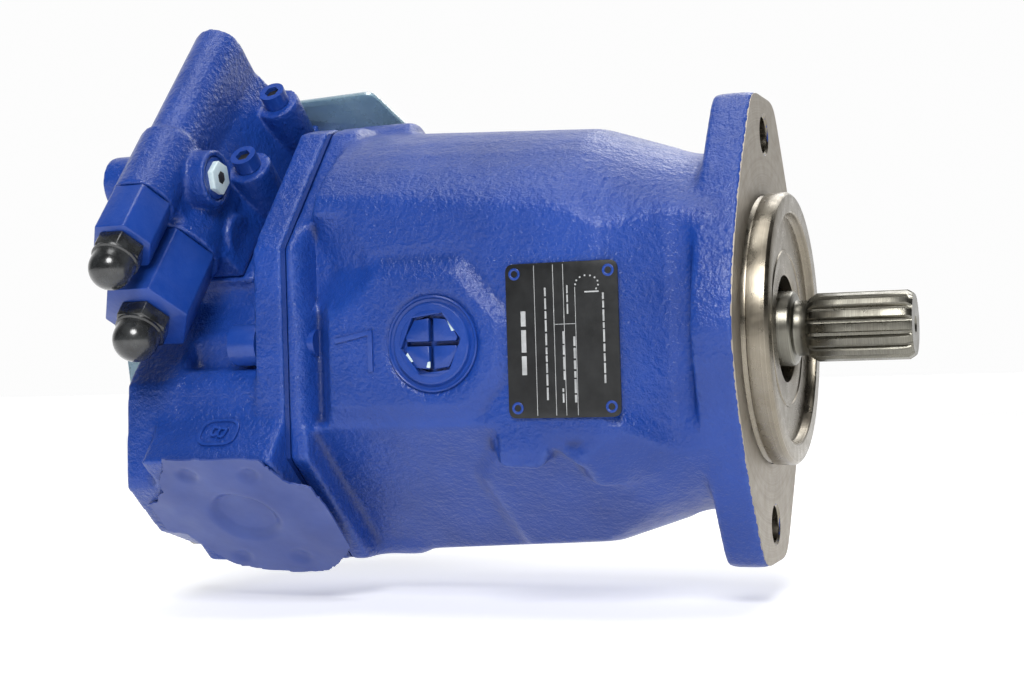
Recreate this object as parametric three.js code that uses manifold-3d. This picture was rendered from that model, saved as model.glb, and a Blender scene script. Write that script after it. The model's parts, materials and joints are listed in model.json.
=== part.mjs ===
// Variable axial piston pump, swashplate type, 45 cm3 per turn, with a pressure and flow control.
// Millimetres. The shaft lies on X and its drive end points to +X; X = 0 is the mounting flange face.
// The two flange bolts lie on Z. The port frame is the row frame turned about X by PORT_ANGLE:
// its Y runs from the pressure port to the suction port, and its Z points to the control valve.
import * as THREE from 'three';
import { mergeVertices } from 'three/addons/utils/BufferGeometryUtils.js';
import Module from 'manifold-3d';

const wasm = await Module();
wasm.setup();

// ---- driving dimensions ----
const PORT_ANGLE = THREE.MathUtils.degToRad(49);
const GAP = 0.3;                    // clearance left between touching pieces

const FLANGE_THICKNESS = 15;
const FLANGE_BOLT_Z = 73;
const FLANGE_HOLE_RADIUS = 7.15;
const PILOT_RADIUS = 50.8;
const PILOT_LENGTH = 9.7;
const SHAFT_END = 53.5;
const SPLINE_START = 15;
const SPLINE_TEETH = 15;
const SPLINE_RADIUS = 12.7;
const SPLINE_ROOT = 11.1;

const JOINT_X = -168;               // plane between housing and port plate
const RIM_START = -157;             // front face of the housing's rear rim
const RIM_RADIUS = 88;
const RIM_BACK = -181;              // rear face of the port plate's rim
const REAR_X = -238;                // rear face of the port plate
const SIDE_FLAT = 65;               // distance of the side flats from the shaft
const CAVITY_RADIUS = 54;

const PISTONS = 9;
const BORE_CIRCLE = 34;
const BORE_RADIUS = 9;
const PISTON_RADIUS = 8.1;
const SLIPPER_CIRCLE = 34.67;       // a little over the bore circle: the tilt narrows it
const BALL_RADIUS = 6;
const PIVOT_X = -78;                // swash axis, in the plane of the slipper balls
const RUNNING_FACE = 10;            // from the pivot to the swashplate's running face
const ROCKER_RADIUS = 38;
const BARREL_FRONT = -95;
const BARREL_REAR = -158;
const BARREL_RADIUS = 47.5;
const LEVER = 58;                   // shaft axis to stroke piston axis

const PORT_FACE = 85.6;             // shaft axis to either port face
const PRESSURE_X = -193;
const SUCTION_X = -196;
const SUCTION_BORE = 19;
const PRESSURE_BORE = 12.7;

const VALVE_X = -220;               // plane of both control spools
const VALVE_SEAT = 50;              // height of the control valve's seat in the port frame
const FLOW_SPOOL_Z = 96;
const PRESSURE_SPOOL_Z = 68;
const VALVE_SCREWS = [[-199, 68], [-199, 30], [-234, 68], [-234, 30]];

const HOUSING_SCREWS = [
  { angle: 180, radius: 60, shank: 5, head: 8, seat: RIM_BACK, end: -161 },
  { angle: 0, radius: 60, shank: 5, head: 8, seat: RIM_BACK, end: -161 },
  { angle: 90, radius: 63, shank: 5, head: 8, seat: REAR_X, end: -150 },
  { angle: -90, radius: 74, shank: 5.8, head: 9, seat: REAR_X, end: -146 },
];

const DRAIN = { x: -108.7, z: -2, face: 67.5, radius: 18.6, bore: 11 };
const PLATE = { x: -59.7, z: -2.2, width: 41.5, height: 54.6, thickness: 0.8 };

// ---- colours ----
const PAINT = [0x3a59a4, 0.35, 0.1];
const STEEL = [0x8d8a82, 0.35, 0.9];
const BRIGHT = [0xb8b6b0, 0.25, 1.0];
const BRONZE = [0xa8834a, 0.4, 0.8];
const BLACK = [0x3c3f40, 0.5, 0.2];
const RUBBER = [0x222222, 0.8, 0.0];
const TEAL = [0x7fa0b4, 0.3, 0.0];
const PLATE_BLACK = [0x333435, 0.5, 0.3];

// ---- geometry helpers ----
function signedVolume(positions, triangles) {
  const [a, b, c] = [new THREE.Vector3(), new THREE.Vector3(), new THREE.Vector3()];
  let volume = 0;
  for (let i = 0; i < triangles.length; i += 3) {
    a.fromArray(positions, 3 * triangles[i]);
    b.fromArray(positions, 3 * triangles[i + 1]);
    c.fromArray(positions, 3 * triangles[i + 2]);
    volume += a.dot(b.cross(c));
  }
  return volume;
}

// Turns a closed three.js geometry into a solid, with its faces pointing out.
function solid(geometry) {
  const bare = geometry.index ? geometry.toNonIndexed() : geometry.clone();
  bare.deleteAttribute('normal');
  bare.deleteAttribute('uv');
  const merged = mergeVertices(bare, 1e-4);
  const positions = Float32Array.from(merged.attributes.position.array);
  const kept = [];
  const index = merged.index.array;
  for (let i = 0; i < index.length; i += 3) {
    const [a, b, c] = [index[i], index[i + 1], index[i + 2]];
    if (a !== b && b !== c && a !== c) kept.push(a, b, c);
  }
  if (signedVolume(positions, kept) < 0) kept.reverse();
  const triVerts = Uint32Array.from(kept);
  return new wasm.Manifold(new wasm.Mesh({ numProp: 3, vertProperties: positions, triVerts }));
}

const join = (...solids) => solids.reduce((a, b) => a.add(b));
const cut = (body, ...tools) => tools.reduce((a, b) => a.subtract(b), body);

// Axis letters name the direction that a round or extruded shape runs along.
function along(geometry, axis) {
  if (axis === 'x') geometry.rotateZ(-Math.PI / 2);
  if (axis === 'z') geometry.rotateX(Math.PI / 2);
  return geometry;
}

function round(axis, radius, from, to, at = [0, 0], segments = 24, farRadius = radius) {
  const length = Math.abs(to - from);
  const middle = (from + to) / 2;
  const geometry = along(new THREE.CylinderGeometry(farRadius, radius, length, segments), axis);
  if (axis === 'x') geometry.translate(middle, at[0], at[1]);
  if (axis === 'y') geometry.translate(at[0], middle, at[1]);
  if (axis === 'z') geometry.translate(at[0], at[1], middle);
  return geometry;
}

// A profile of [x, radius] points turned about the X axis.
function turned(profile, segments = 24) {
  const points = profile.map(([x, radius]) => new THREE.Vector2(Math.max(radius, 0), x));
  return along(new THREE.LatheGeometry(points, segments), 'x');
}

function ring(inner, outer, from, to, segments = 24) {
  return turned([[from, inner], [from, outer], [to, outer], [to, inner], [from, inner]], segments);
}

function box(x0, x1, y0, y1, z0, z1) {
  const geometry = new THREE.BoxGeometry(x1 - x0, y1 - y0, z1 - z0);
  return geometry.translate((x0 + x1) / 2, (y0 + y1) / 2, (z0 + z1) / 2);
}

// Extrudes an outline along an axis. The outline is [y, z], [x, z] or [x, y] for x, y and z.
function prism(axis, outline, from, to) {
  const shape = new THREE.Shape(outline.map(([u, v]) => new THREE.Vector2(u, v)));
  const geometry = new THREE.ExtrudeGeometry(shape, { depth: to - from, bevelEnabled: false });
  const [x, y, z] = [new THREE.Vector3(1, 0, 0), new THREE.Vector3(0, 1, 0), new THREE.Vector3(0, 0, 1)];
  const basis = new THREE.Matrix4();
  if (axis === 'x') basis.makeBasis(y, z, x).setPosition(from, 0, 0);
  if (axis === 'y') basis.makeBasis(x, z, y.negate()).setPosition(0, to, 0);
  if (axis === 'z') basis.makeBasis(x, y, z).setPosition(0, 0, from);
  return geometry.applyMatrix4(basis);
}

const inPortFrame = (geometry) => geometry.rotateX(PORT_ANGLE);
const fromRowFrame = (geometry) => geometry.rotateX(-PORT_ANGLE);

function arc(centreU, centreV, radius, startDegrees, endDegrees, steps) {
  const points = [];
  for (let i = 0; i <= steps; i += 1) {
    const angle = THREE.MathUtils.degToRad(startDegrees + ((endDegrees - startDegrees) * i) / steps);
    points.push([centreU + radius * Math.cos(angle), centreV + radius * Math.sin(angle)]);
  }
  return points;
}

// A circle cut off by straight lines, each at a distance from the centre and facing an angle.
function flattenedCircle(radius, flats, segments = 36) {
  let points = arc(0, 0, radius, 0, 360 - 360 / segments, segments - 1);
  for (const [degrees, distance] of flats) {
    const [nu, nv] = [Math.cos(degrees * Math.PI / 180), Math.sin(degrees * Math.PI / 180)];
    const side = (p) => p[0] * nu + p[1] * nv - distance;
    const clipped = [];
    points.forEach((p, i) => {
      const q = points[(i + 1) % points.length];
      const [sp, sq] = [side(p), side(q)];
      if (sp <= 0) clipped.push(p);
      if ((sp < 0 && sq > 0) || (sp > 0 && sq < 0)) {
        const t = sp / (sp - sq);
        clipped.push([p[0] + t * (q[0] - p[0]), p[1] + t * (q[1] - p[1])]);
      }
    });
    points = clipped;
  }
  return points;
}

const polar = (radius, degrees) => [
  radius * Math.cos((degrees * Math.PI) / 180),
  radius * Math.sin((degrees * Math.PI) / 180),
];

const root = new THREE.Group();

function piece(name, body, [colour, roughness, metalness], parent = root, x = 0, y = 0, z = 0) {
  const mesh = body.getMesh();
  const geometry = new THREE.BufferGeometry();
  geometry.setAttribute('position', new THREE.BufferAttribute(Float32Array.from(mesh.vertProperties), 3));
  geometry.setIndex(new THREE.BufferAttribute(Uint32Array.from(mesh.triVerts), 1));
  geometry.computeVertexNormals();
  const material = new THREE.MeshStandardMaterial({ color: colour, roughness, metalness });
  const node = new THREE.Mesh(geometry, material);
  node.name = name;
  node.position.set(x, y, z);
  parent.add(node);
  return node;
}

const portFrame = new THREE.Group();
portFrame.rotation.x = PORT_ANGLE;
root.add(portFrame);

const portDegrees = THREE.MathUtils.radToDeg(PORT_ANGLE);

// ---- mounting flange and pump housing ----
function flangeOutline() {
  const quarter = [
    [64, 0], [62.2, 12], [57.5, 26], [50.5, 41], [42.5, 55], [33, 69], [24, 81.5], [19.5, 86], [13, 87.8],
  ];
  const mirrored = (su, sv) => quarter.map(([u, v]) => [su * u, sv * v]);
  return [
    ...mirrored(1, 1),
    ...mirrored(-1, 1).reverse().slice(0, -1),
    ...mirrored(-1, -1),
    ...mirrored(1, -1).reverse().slice(0, -1),
  ];
}

function rimOutline(inPorts) {
  const turn = inPorts ? portDegrees : 0;
  const flats = [
    [180, 68.5], [0, 68.5], [90, 86], [-90, 86],
    [portDegrees, 77.5], [portDegrees + 180, 77.5], [portDegrees + 90, 75], [portDegrees - 90, 75],
  ];
  return flattenedCircle(RIM_RADIUS, flats.map(([angle, distance]) => [angle - turn, distance]));
}

function housingBody() {
  const barrel = solid(turned([
    [-10, 0], [-10, 66], [-24, 67.5], [-60, 79.5], [-100, 81.5], [-140, 83.5],
    [RIM_START, 84], [RIM_START, 0],
  ], 44));
  const plan = [
    [-10, 52], [-24, 52], [-46, SIDE_FLAT], [RIM_START, SIDE_FLAT],
    [RIM_START, -SIDE_FLAT], [-46, -SIDE_FLAT], [-24, -52], [-10, -52],
  ];
  let body = barrel.intersect(solid(prism('z', plan, -100, 100)));
  // The lower flank facing the pressure port is flat, with a rib left standing across it.
  const flank = (x0, x1, depth) => solid(inPortFrame(box(x0, x1, -120, -depth, -90, 90)));
  body = cut(body, flank(-170, -86, 66.5), flank(-67, -18, 70), flank(-86.5, -66.5, 75));
  // A stepped recess runs round the side flats just in front of the rear rim.
  const recess = [
    [-158, 46], [-150, 46], [-137.5, 27], [-148, 13], [-148, -29], [-158, -29],
  ];
  for (const side of [1, -1]) {
    const [low, high] = side > 0 ? [60.5, 90] : [-90, -60.5];
    body = cut(body, solid(prism('y', recess, low, high)));
  }
  return body;
}

function drainPad(side) {
  const right = DRAIN.x + 25;
  const outline = [
    [-147, DRAIN.z - 22.5], [DRAIN.x + 12, DRAIN.z - 22.5], [right - 1, DRAIN.z - 8],
    [right, DRAIN.z + 6], [DRAIN.x + 9, DRAIN.z + 25], [-147, DRAIN.z + 25],
  ];
  const [low, high] = side > 0 ? [56, DRAIN.face] : [-DRAIN.face, -56];
  return solid(prism('y', outline, low, high));
}

function housing() {
  const flange = solid(prism('x', flangeOutline(), -FLANGE_THICKNESS, 0));
  const pilot = solid(turned([
    [-5, 0], [-5, PILOT_RADIUS], [PILOT_LENGTH - 1.2, PILOT_RADIUS],
    [PILOT_LENGTH, PILOT_RADIUS - 1.2], [PILOT_LENGTH, 0],
  ], 40));
  const rim = solid(prism('x', rimOutline(false), JOINT_X + 1, RIM_START + 1));
  const bosses = [[90, 14, 75], [-90, 12, 74]].map(([angle, radius, at]) => (
    solid(round('x', radius, JOINT_X + 1, -141, polar(at, angle), 18))));
  let body = join(housingBody(), flange, pilot, rim, ...bosses, drainPad(1), drainPad(-1));

  const front = solid(turned([
    [20, 0], [20, 43], [6.5, 42], [6.5, 20], [-12, 20], [-12, 31.3], [-31.5, 31.3],
    [-31.5, 20], [-60, 20], [-60, 0],
  ], 24));
  const cavity = solid(round('x', CAVITY_RADIUS, -180, -44, [0, 0], 32));
  const saddle = solid(inPortFrame(round('y', ROCKER_RADIUS + 3.6, -47, 47, [PIVOT_X, 0], 40)))
    .intersect(solid(box(PIVOT_X, 0, -90, 90, -90, 90)));
  // Channels for the two pistons, and a pocket that the bias lug tilts into.
  const channels = [LEVER, -LEVER].map((z) => solid(inPortFrame(round('x', 12, -180, -56, [0, z], 14))));
  channels.push(solid(inPortFrame(round('x', 12, -70, -40.5, [0, 5 - LEVER], 14))));
  const bolts = [1, -1].map((side) => (
    solid(round('x', FLANGE_HOLE_RADIUS, -30, 10, [0, side * FLANGE_BOLT_Z], 20))));
  body = cut(body, front, cavity, saddle, ...channels, ...bolts);
  for (const side of [1, -1]) {
    const [low, high] = side > 0 ? [40, 80] : [-80, -40];
    const [spot, outer] = side > 0 ? [DRAIN.face - 1.2, 80] : [-80, -DRAIN.face + 1.2];
    body = cut(
      body,
      solid(round('y', DRAIN.bore, low, high, [DRAIN.x, DRAIN.z], 24)),
      solid(round('y', DRAIN.radius, spot, outer, [DRAIN.x, DRAIN.z], 32)),
    );
  }
  for (const screw of HOUSING_SCREWS) {
    const at = polar(screw.radius, screw.angle);
    body = cut(body, solid(round('x', screw.shank + GAP, -180, screw.end + 2, at, 12)));
  }
  return body;
}

function housingGasket() {
  const outline = rimOutline(false).map(([y, z]) => [y * 0.995, z * 0.995]);
  const sheet = solid(prism('x', outline, JOINT_X - 0.3, JOINT_X + 0.7));
  const bore = solid(round('x', CAVITY_RADIUS, -180, -150, [0, 0], 32));
  const channels = [LEVER, -LEVER].map((z) => solid(inPortFrame(round('x', 12, -180, -150, [0, z], 14))));
  const holes = HOUSING_SCREWS.map(({ shank, radius, angle }) => (
    solid(round('x', shank + GAP, -180, -150, polar(radius, angle), 12))));
  return cut(sheet, bore, ...channels, ...holes);
}

// ---- port plate ----
function kidney(centreDegrees, x0, x1, halfWidth = 4.5, halfAngle = 48) {
  const [first, last] = [centreDegrees - halfAngle, centreDegrees + halfAngle];
  const inner = arc(0, 0, BORE_CIRCLE - halfWidth, last, first, 6);
  const outer = arc(0, 0, BORE_CIRCLE + halfWidth, first, last, 6);
  return solid(prism('x', [...outer, ...inner], x0, x1));
}

function portPlate() {
  const rim = solid(prism('x', rimOutline(true), RIM_BACK, JOINT_X - 0.6));
  const land = solid(round('x', 48, -170, -163.4, [0, 0], 32));
  const rearOutline = [
    [-PORT_FACE, -12], [-PORT_FACE, 17], [-81.5, 21], [-54.5, 41], [-14, 41], [-9, 46],
    [78, 46], [PORT_FACE, 38], [PORT_FACE, -44], [70, -60], [-40, -62], [-64, -58], [-75, -36],
  ];
  const block = solid(prism('x', rearOutline, REAR_X, RIM_BACK + 1));
  const pressurePad = solid(box(-224, JOINT_X - 0.8, -PORT_FACE, -60, -33, 33));
  const suctionPad = solid(box(-232, JOINT_X - 0.8, 60, PORT_FACE, -42, 42));
  const valvePad = solid(prism('y', [
    [REAR_X + 2, 38], [REAR_X + 2, 46.5], [-242, 46.5],
    [-242, VALVE_SEAT], [-194, VALVE_SEAT], [-194, 38],
  ], -9, 82));
  const screwNotch = solid(box(-250, REAR_X, 38, 58, 30, 60));
  let body = join(rim, land, block, pressurePad, suctionPad, cut(valvePad, screwNotch));

  const pressureBore = solid(round('y', PRESSURE_BORE, -120, -32, [PRESSURE_X, 0], 24));
  const suctionBore = solid(round('y', SUCTION_BORE, 32, 120, [SUCTION_X, 0], 28));
  const centre = solid(turned([
    [-150, 0], [-150, 26.3], [-186, 26.3], [-186, 18], [-230, 18], [-230, 30], [-260, 30], [-260, 0],
  ], 28));
  body = cut(body, pressureBore, suctionBore, centre);
  body = cut(body, kidney(180, PRESSURE_X, -150), kidney(0, SUCTION_X, -150));
  for (const x of [-13.1, 13.1]) {
    for (const z of [-26.2, 26.2]) {
      body = cut(body, solid(round('y', 4.4, -100, -70, [PRESSURE_X + x, z], 8)));
    }
  }
  for (const x of [-17.85, 17.85]) {
    for (const z of [-34.95, 34.95]) {
      body = cut(body, solid(round('y', 5.2, 68, 100, [SUCTION_X + x, z], 8)));
    }
  }
  // Pockets round the two side screws, whose heads sit on the rim.
  for (const [low, high] of [[-90, -51], [51, 90]]) {
    body = cut(body, solid(fromRowFrame(box(-216, RIM_BACK, low, high, -24, 30))));
  }
  for (const screw of HOUSING_SCREWS) {
    const at = polar(screw.radius, screw.angle - portDegrees);
    body = cut(body, solid(round('x', screw.shank + GAP, screw.seat - 1, -150, at, 12)));
  }
  for (const [x, y] of VALVE_SCREWS) {
    body = cut(body, solid(round('z', 3.2, 40, 70, [x, y], 8)));
  }
  return body;
}

function housingScrew({ shank, head, seat, end }) {
  const back = seat - GAP;
  const bolt = solid(turned([
    [back - 11.5, 0], [back - 11.5, head - 0.8], [back - 10.7, head], [back, head],
    [back, shank], [end, shank], [end, 0],
  ], 12));
  return cut(bolt, solid(round('x', 5, back - 20, back - 5, [0, 0], 6)));
}

// ---- control valve ----
function controlBlock() {
  const base = VALVE_SEAT + GAP;
  const section = [
    [-242, base], [-198, base], [-200, 58], [-204.5, 70], [-209.5, 82],
    ...arc(VALVE_X, FLOW_SPOOL_Z, 10.3, 0, 180, 8),
    [-230.5, 82], [-235.5, 70], [-239, 58],
  ];
  const body = solid(prism('y', section, -8, 80));
  const flowCollar = solid(round('y', 12.2, -12, 20, [VALVE_X, FLOW_SPOOL_Z], 16));
  const pressureCollar = solid(round('y', 17.6, -12, 20, [VALVE_X, PRESSURE_SPOOL_Z], 20));
  const bosses = VALVE_SCREWS.map(([x, y]) => solid(round('z', 9, base, 74, [x, y], 14)));
  const crossBoss = solid(round('x', 11, -245, -200, [10, 87], 18));
  const sideBoss = solid(round('x', 9, VALVE_X, -200, [5, 60], 14));
  let block = join(body, flowCollar, pressureCollar, ...bosses, crossBoss, sideBoss);
  // Spool bores open towards the adjusters, and the cross port opens towards the housing.
  block = cut(
    block,
    solid(round('y', 5.4, -40, 70, [VALVE_X, FLOW_SPOOL_Z], 12)),
    solid(round('y', 8.4, -40, 0, [VALVE_X, FLOW_SPOOL_Z], 14)),
    solid(round('y', 6.4, -40, 70, [VALVE_X, PRESSURE_SPOOL_Z], 12)),
    solid(round('y', 12.6, -40, 0, [VALVE_X, PRESSURE_SPOOL_Z], 14)),
    solid(round('x', 8.7, -206, -180, [10, 87], 14)),
  );
  for (const [x, y] of VALVE_SCREWS) {
    block = cut(
      block,
      solid(round('z', 3.5, 40, 90, [x, y], 8)),
      solid(round('z', 5.8, 74, 84, [x, y], 12)),
    );
  }
  return block;
}

// A hexagon along Y whose flats face up and down.
const hexagon = (acrossFlats, from, to) => (
  round('y', acrossFlats / Math.sqrt(3), from, to, [0, 0], 6).rotateY(Math.PI / 6));

function springSleeve(acrossFlats, neck, start, shoulder, end, z) {
  const hex = solid(hexagon(acrossFlats, end, shoulder).translate(VALVE_X, 0, z));
  const stem = solid(round('y', neck, shoulder - 1, start, [VALVE_X, z], 14));
  return cut(join(hex, stem), solid(round('y', 5.6, -100, 40, [VALVE_X, z], 16)));
}

// A cap nut with its screw: hexagon, collar and dome, on the sleeve's end.
function adjuster(sleeveEnd, hexSize, domeRadius) {
  const face = sleeveEnd - GAP;
  const hex = solid(hexagon(hexSize, face - 6, face));
  const dome = [[-face + 5.6, 0], [-face + 5.6, domeRadius + 0.6], [-face + 7, domeRadius + 0.6]];
  for (let i = 0; i <= 4; i += 1) {
    const angle = (i * Math.PI) / 8;
    dome.push([-face + 11 + domeRadius * Math.sin(angle), domeRadius * Math.cos(angle)]);
  }
  const cap = solid(turned(dome, 16).rotateZ(-Math.PI / 2));
  const screw = solid(round('y', 4.8, face - 1, face + 14, [0, 0], 12));
  return join(hex, cap, screw);
}

// A spool along Y with three lands.
function spool(radius, from, to) {
  const waist = radius - 2;
  const step = (to - from) / 5;
  return solid(turned([
    [from, 0], [from, radius], [from + step, radius], [from + step, waist], [from + 2 * step, waist],
    [from + 2 * step, radius], [from + 3 * step, radius], [from + 3 * step, waist],
    [to - step, waist], [to - step, radius], [to, radius], [to, 0],
  ], 8).rotateZ(Math.PI / 2));
}

function controlScrew() {
  const head = 74 + GAP;
  const bolt = solid(turned([
    [44, 0], [44, 2.9], [head, 2.9], [head, 5.2], [head + 5.4, 5.2], [head + 6, 4.6], [head + 6, 0],
  ], 10).rotateY(-Math.PI / 2));
  return cut(bolt, solid(round('z', 2.9, head + 3, head + 10, [0, 0], 6)));
}

// ---- shaft and rotating group ----
function splineOutline() {
  const points = [];
  const step = 360 / SPLINE_TEETH;
  for (let i = 0; i < SPLINE_TEETH; i += 1) {
    points.push(
      polar(SPLINE_ROOT, (i + 0.02) * step),
      polar(SPLINE_ROOT, (i + 0.24) * step),
      polar(SPLINE_RADIUS, (i + 0.38) * step),
      polar(SPLINE_RADIUS, (i + 0.88) * step),
    );
  }
  return points;
}

function driveShaft() {
  const core = solid(turned([
    [-200, 0], [-200, 10.6], [-199, 11.2], [-187, 11.2], [-187, 12], [-164, 12], [-164, 12.6],
    [BARREL_FRONT + 1, 12.6], [BARREL_FRONT + 1, 13.8], [-36.2, 13.8], [-36.2, 17.5], [-33, 17.5],
    [-33, 15], [-12, 15], [-12, 14], [9.5, 14], [10.5, 13], [10.5, 10.3], [SPLINE_START + 1, 10.3],
    [SPLINE_START + 1, 0],
  ], 20));
  const chamfer = solid(turned([
    [SPLINE_START, 0], [SPLINE_START, 10.6], [SPLINE_START + 3, 13.4], [SHAFT_END - 2, 13.4],
    [SHAFT_END, 11.3], [SHAFT_END, 0],
  ], 15));
  const spline = solid(prism('x', splineOutline(), SPLINE_START, SHAFT_END)).intersect(chamfer);
  const centreHole = solid(round('x', 2.8, SHAFT_END - 18, SHAFT_END + 1, [0, 0], 12));
  return cut(join(core, spline), centreHole);
}

function cylinderBarrel() {
  let body = solid(ring(13.1, BARREL_RADIUS, BARREL_REAR, BARREL_FRONT, 32));
  const boreRadius = BORE_RADIUS / Math.cos(Math.PI / 12);
  for (let i = 0; i < PISTONS; i += 1) {
    const at = polar(BORE_CIRCLE, (360 / PISTONS) * i);
    body = cut(
      body,
      solid(round('x', boreRadius, -150, BARREL_FRONT + 5, at, 12)),
      solid(round('x', 4, BARREL_REAR - 5, -149, at, 6)),
    );
  }
  return body;
}

// The ball end lies on the origin and the piston runs towards -X.
function piston() {
  return solid(turned([
    [-60, 0], [-60, PISTON_RADIUS], [-13, PISTON_RADIUS], [-9.5, 4.2], [-4.3, 4.2],
    [0, BALL_RADIUS], [4.2, 4.2], [BALL_RADIUS, 0],
  ], 12));
}

// The socket is centred on the origin and the running face looks towards +X.
function slipper() {
  const face = RUNNING_FACE - GAP;
  return solid(turned([
    [6.7, 0], [4.9, 4.9], [0, 6.7], [-3, 5.9], [-3, 8.3], [6.2, 8.3], [6.2, 11],
    [face, 11], [face, 0],
  ], 12));
}

function retainerPlate() {
  let plate = solid(ring(21.5, 47, 2.7, 5.7, 28));
  for (let i = 0; i < PISTONS; i += 1) {
    const at = polar(SLIPPER_CIRCLE, (360 / PISTONS) * i);
    plate = cut(plate, solid(round('x', 9.1, 0, 9, at, 12)));
  }
  return plate;
}

// A spherical zone centred on the swash axis, so the retainer plate tilts freely round it.
function retainerBall() {
  const profile = [[-16.4, 14.2], [-16.4, 16]];
  for (let i = 0; i <= 4; i += 1) {
    const angle = THREE.MathUtils.degToRad(126 - 13 * i);
    profile.push([20.5 * Math.cos(angle), 20.5 * Math.sin(angle)]);
  }
  profile.push([20.5 * Math.cos(THREE.MathUtils.degToRad(74)), 14.2], [-16.4, 14.2]);
  return solid(turned(profile, 20));
}

// The tilting plate: a running face towards -X and a round rocker towards +X, about the port axis.
function swashplate() {
  const disc = solid(round('x', 49, RUNNING_FACE, 18, [0, 0], 32));
  const rocker = solid(round('y', ROCKER_RADIUS, -46, 46, [0, 0], 40))
    .intersect(solid(box(17, 60, -60, 60, -60, 60)));
  let body = join(disc, rocker);
  for (const side of [1, -1]) {
    const [low, high] = side > 0 ? [40, 63] : [-63, -40];
    const [tipLow, tipHigh] = side > 0 ? [51.5, 63] : [-63, -51.5];
    const lug = solid(box(RUNNING_FACE, 18, -7, 7, low, high));
    const tip = solid(box(-2, 12, -7, 7, tipLow, tipHigh));
    body = join(body, lug, tip);
  }
  const opening = solid(turned([
    [5, 0], [5, 20], [RUNNING_FACE, 20], [60, 34], [60, 0],
  ], 20));
  return cut(body, opening);
}

function cradleBearing(from, to) {
  const outer = ROCKER_RADIUS + 3;
  const inner = ROCKER_RADIUS + 0.3;
  const section = [...arc(0, 0, outer, -32, 32, 8), ...arc(0, 0, inner, 32, -32, 8)];
  return solid(prism('y', section, from, to));
}

// A cup that slides on the guide pin; its domed end pushes the swashplate's lug.
function strokePiston(outer, inner, tip, skirt) {
  const profile = [[tip - 6, 0], [tip - 6, inner], [skirt, inner], [skirt, outer], [tip - 3, outer]];
  profile.push([tip - 0.8, outer * 0.55], [tip, 0]);
  return solid(turned(profile, 12));
}

function biasSpring(turns, coilRadius, wireRadius, from, to) {
  class Helix extends THREE.Curve {
    getPoint(t, target = new THREE.Vector3()) {
      const angle = t * turns * 2 * Math.PI;
      const x = from + t * (to - from);
      return target.set(x, coilRadius * Math.cos(angle), coilRadius * Math.sin(angle));
    }
  }
  const corners = arc(0, 0, wireRadius, 0, 270, 3).map(([u, v]) => new THREE.Vector2(u, v));
  const section = new THREE.Shape(corners);
  return new THREE.ExtrudeGeometry(section, {
    steps: turns * 8, extrudePath: new Helix(), bevelEnabled: false,
  });
}

// ---- assembly ----
piece('housing', housing(), PAINT);
piece('port_plate', portPlate(), PAINT, portFrame);
piece('housing_gasket', housingGasket(), RUBBER);

HOUSING_SCREWS.forEach((screw, i) => {
  const [y, z] = polar(screw.radius, screw.angle);
  piece(`housing_screw_${i + 1}`, housingScrew(screw), i < 2 ? PAINT : BLACK, root, 0, y, z);
});

piece('shaft_seal', solid(ring(14.3, 19.7, -9, -2, 20)), RUBBER);
piece('front_bearing_cup', solid(turned([
  [-31.2, 25.2], [-31.2, 30.6], [-12.4, 30.6], [-12.4, 27.2], [-31.2, 25.2],
], 24)), BRIGHT);
piece('front_bearing_cone', solid(turned([
  [-31.2, 15.3], [-31.2, 24.7], [-13.4, 26.6], [-13.4, 15.3], [-31.2, 15.3],
], 24)), STEEL);
piece('rear_bearing_cup', solid(ring(20.6, 26, -184, -166.5)), BRIGHT);
piece('rear_bearing_cone', solid(ring(12.3, 20.2, -184, -166.5)), STEEL);
const valvePlateDisc = solid(ring(13.4, 47, -163.1, BARREL_REAR - GAP, 28));
const valvePlate = cut(valvePlateDisc, kidney(180, -170, -150), kidney(0, -170, -150));
piece('valve_plate', valvePlate, BRONZE, portFrame);
piece('cradle_bearing_1', cradleBearing(24, 45), BRONZE, portFrame, PIVOT_X);
piece('cradle_bearing_2', cradleBearing(-45, -24), BRONZE, portFrame, PIVOT_X);

piece('drive_shaft', driveShaft(), BRIGHT);
piece('cylinder_barrel', cylinderBarrel(), STEEL);
piece('retainer_ball', retainerBall(), STEEL, root, PIVOT_X);
piece('retainer_plate', retainerPlate(), STEEL, root, PIVOT_X);
for (let i = 0; i < PISTONS; i += 1) {
  const [y, z] = polar(SLIPPER_CIRCLE, (360 / PISTONS) * i);
  piece(`piston_${i + 1}`, piston(), BRIGHT, root, PIVOT_X, y, z);
  piece(`slipper_${i + 1}`, slipper(), BRONZE, root, PIVOT_X, y, z);
}

piece('swashplate', swashplate(), STEEL, portFrame, PIVOT_X);
const lugFace = PIVOT_X - 2;
piece('stroke_piston', strokePiston(8, 6, lugFace - 0.9, -132), BRIGHT, portFrame, 0, 0, LEVER);
piece('bias_piston', strokePiston(8, 6.5, lugFace - 0.9, -112), BRIGHT, portFrame, 0, 0, -LEVER);
const strokeGuide = solid(round('x', 5.6, JOINT_X - 0.2 - GAP, -104, [0, LEVER], 16));
piece('stroke_guide', strokeGuide, STEEL, portFrame);
piece('bias_spring', solid(biasSpring(6, 4.6, 0.9, -165, -90)), STEEL, portFrame, 0, 0, -LEVER);

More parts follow.
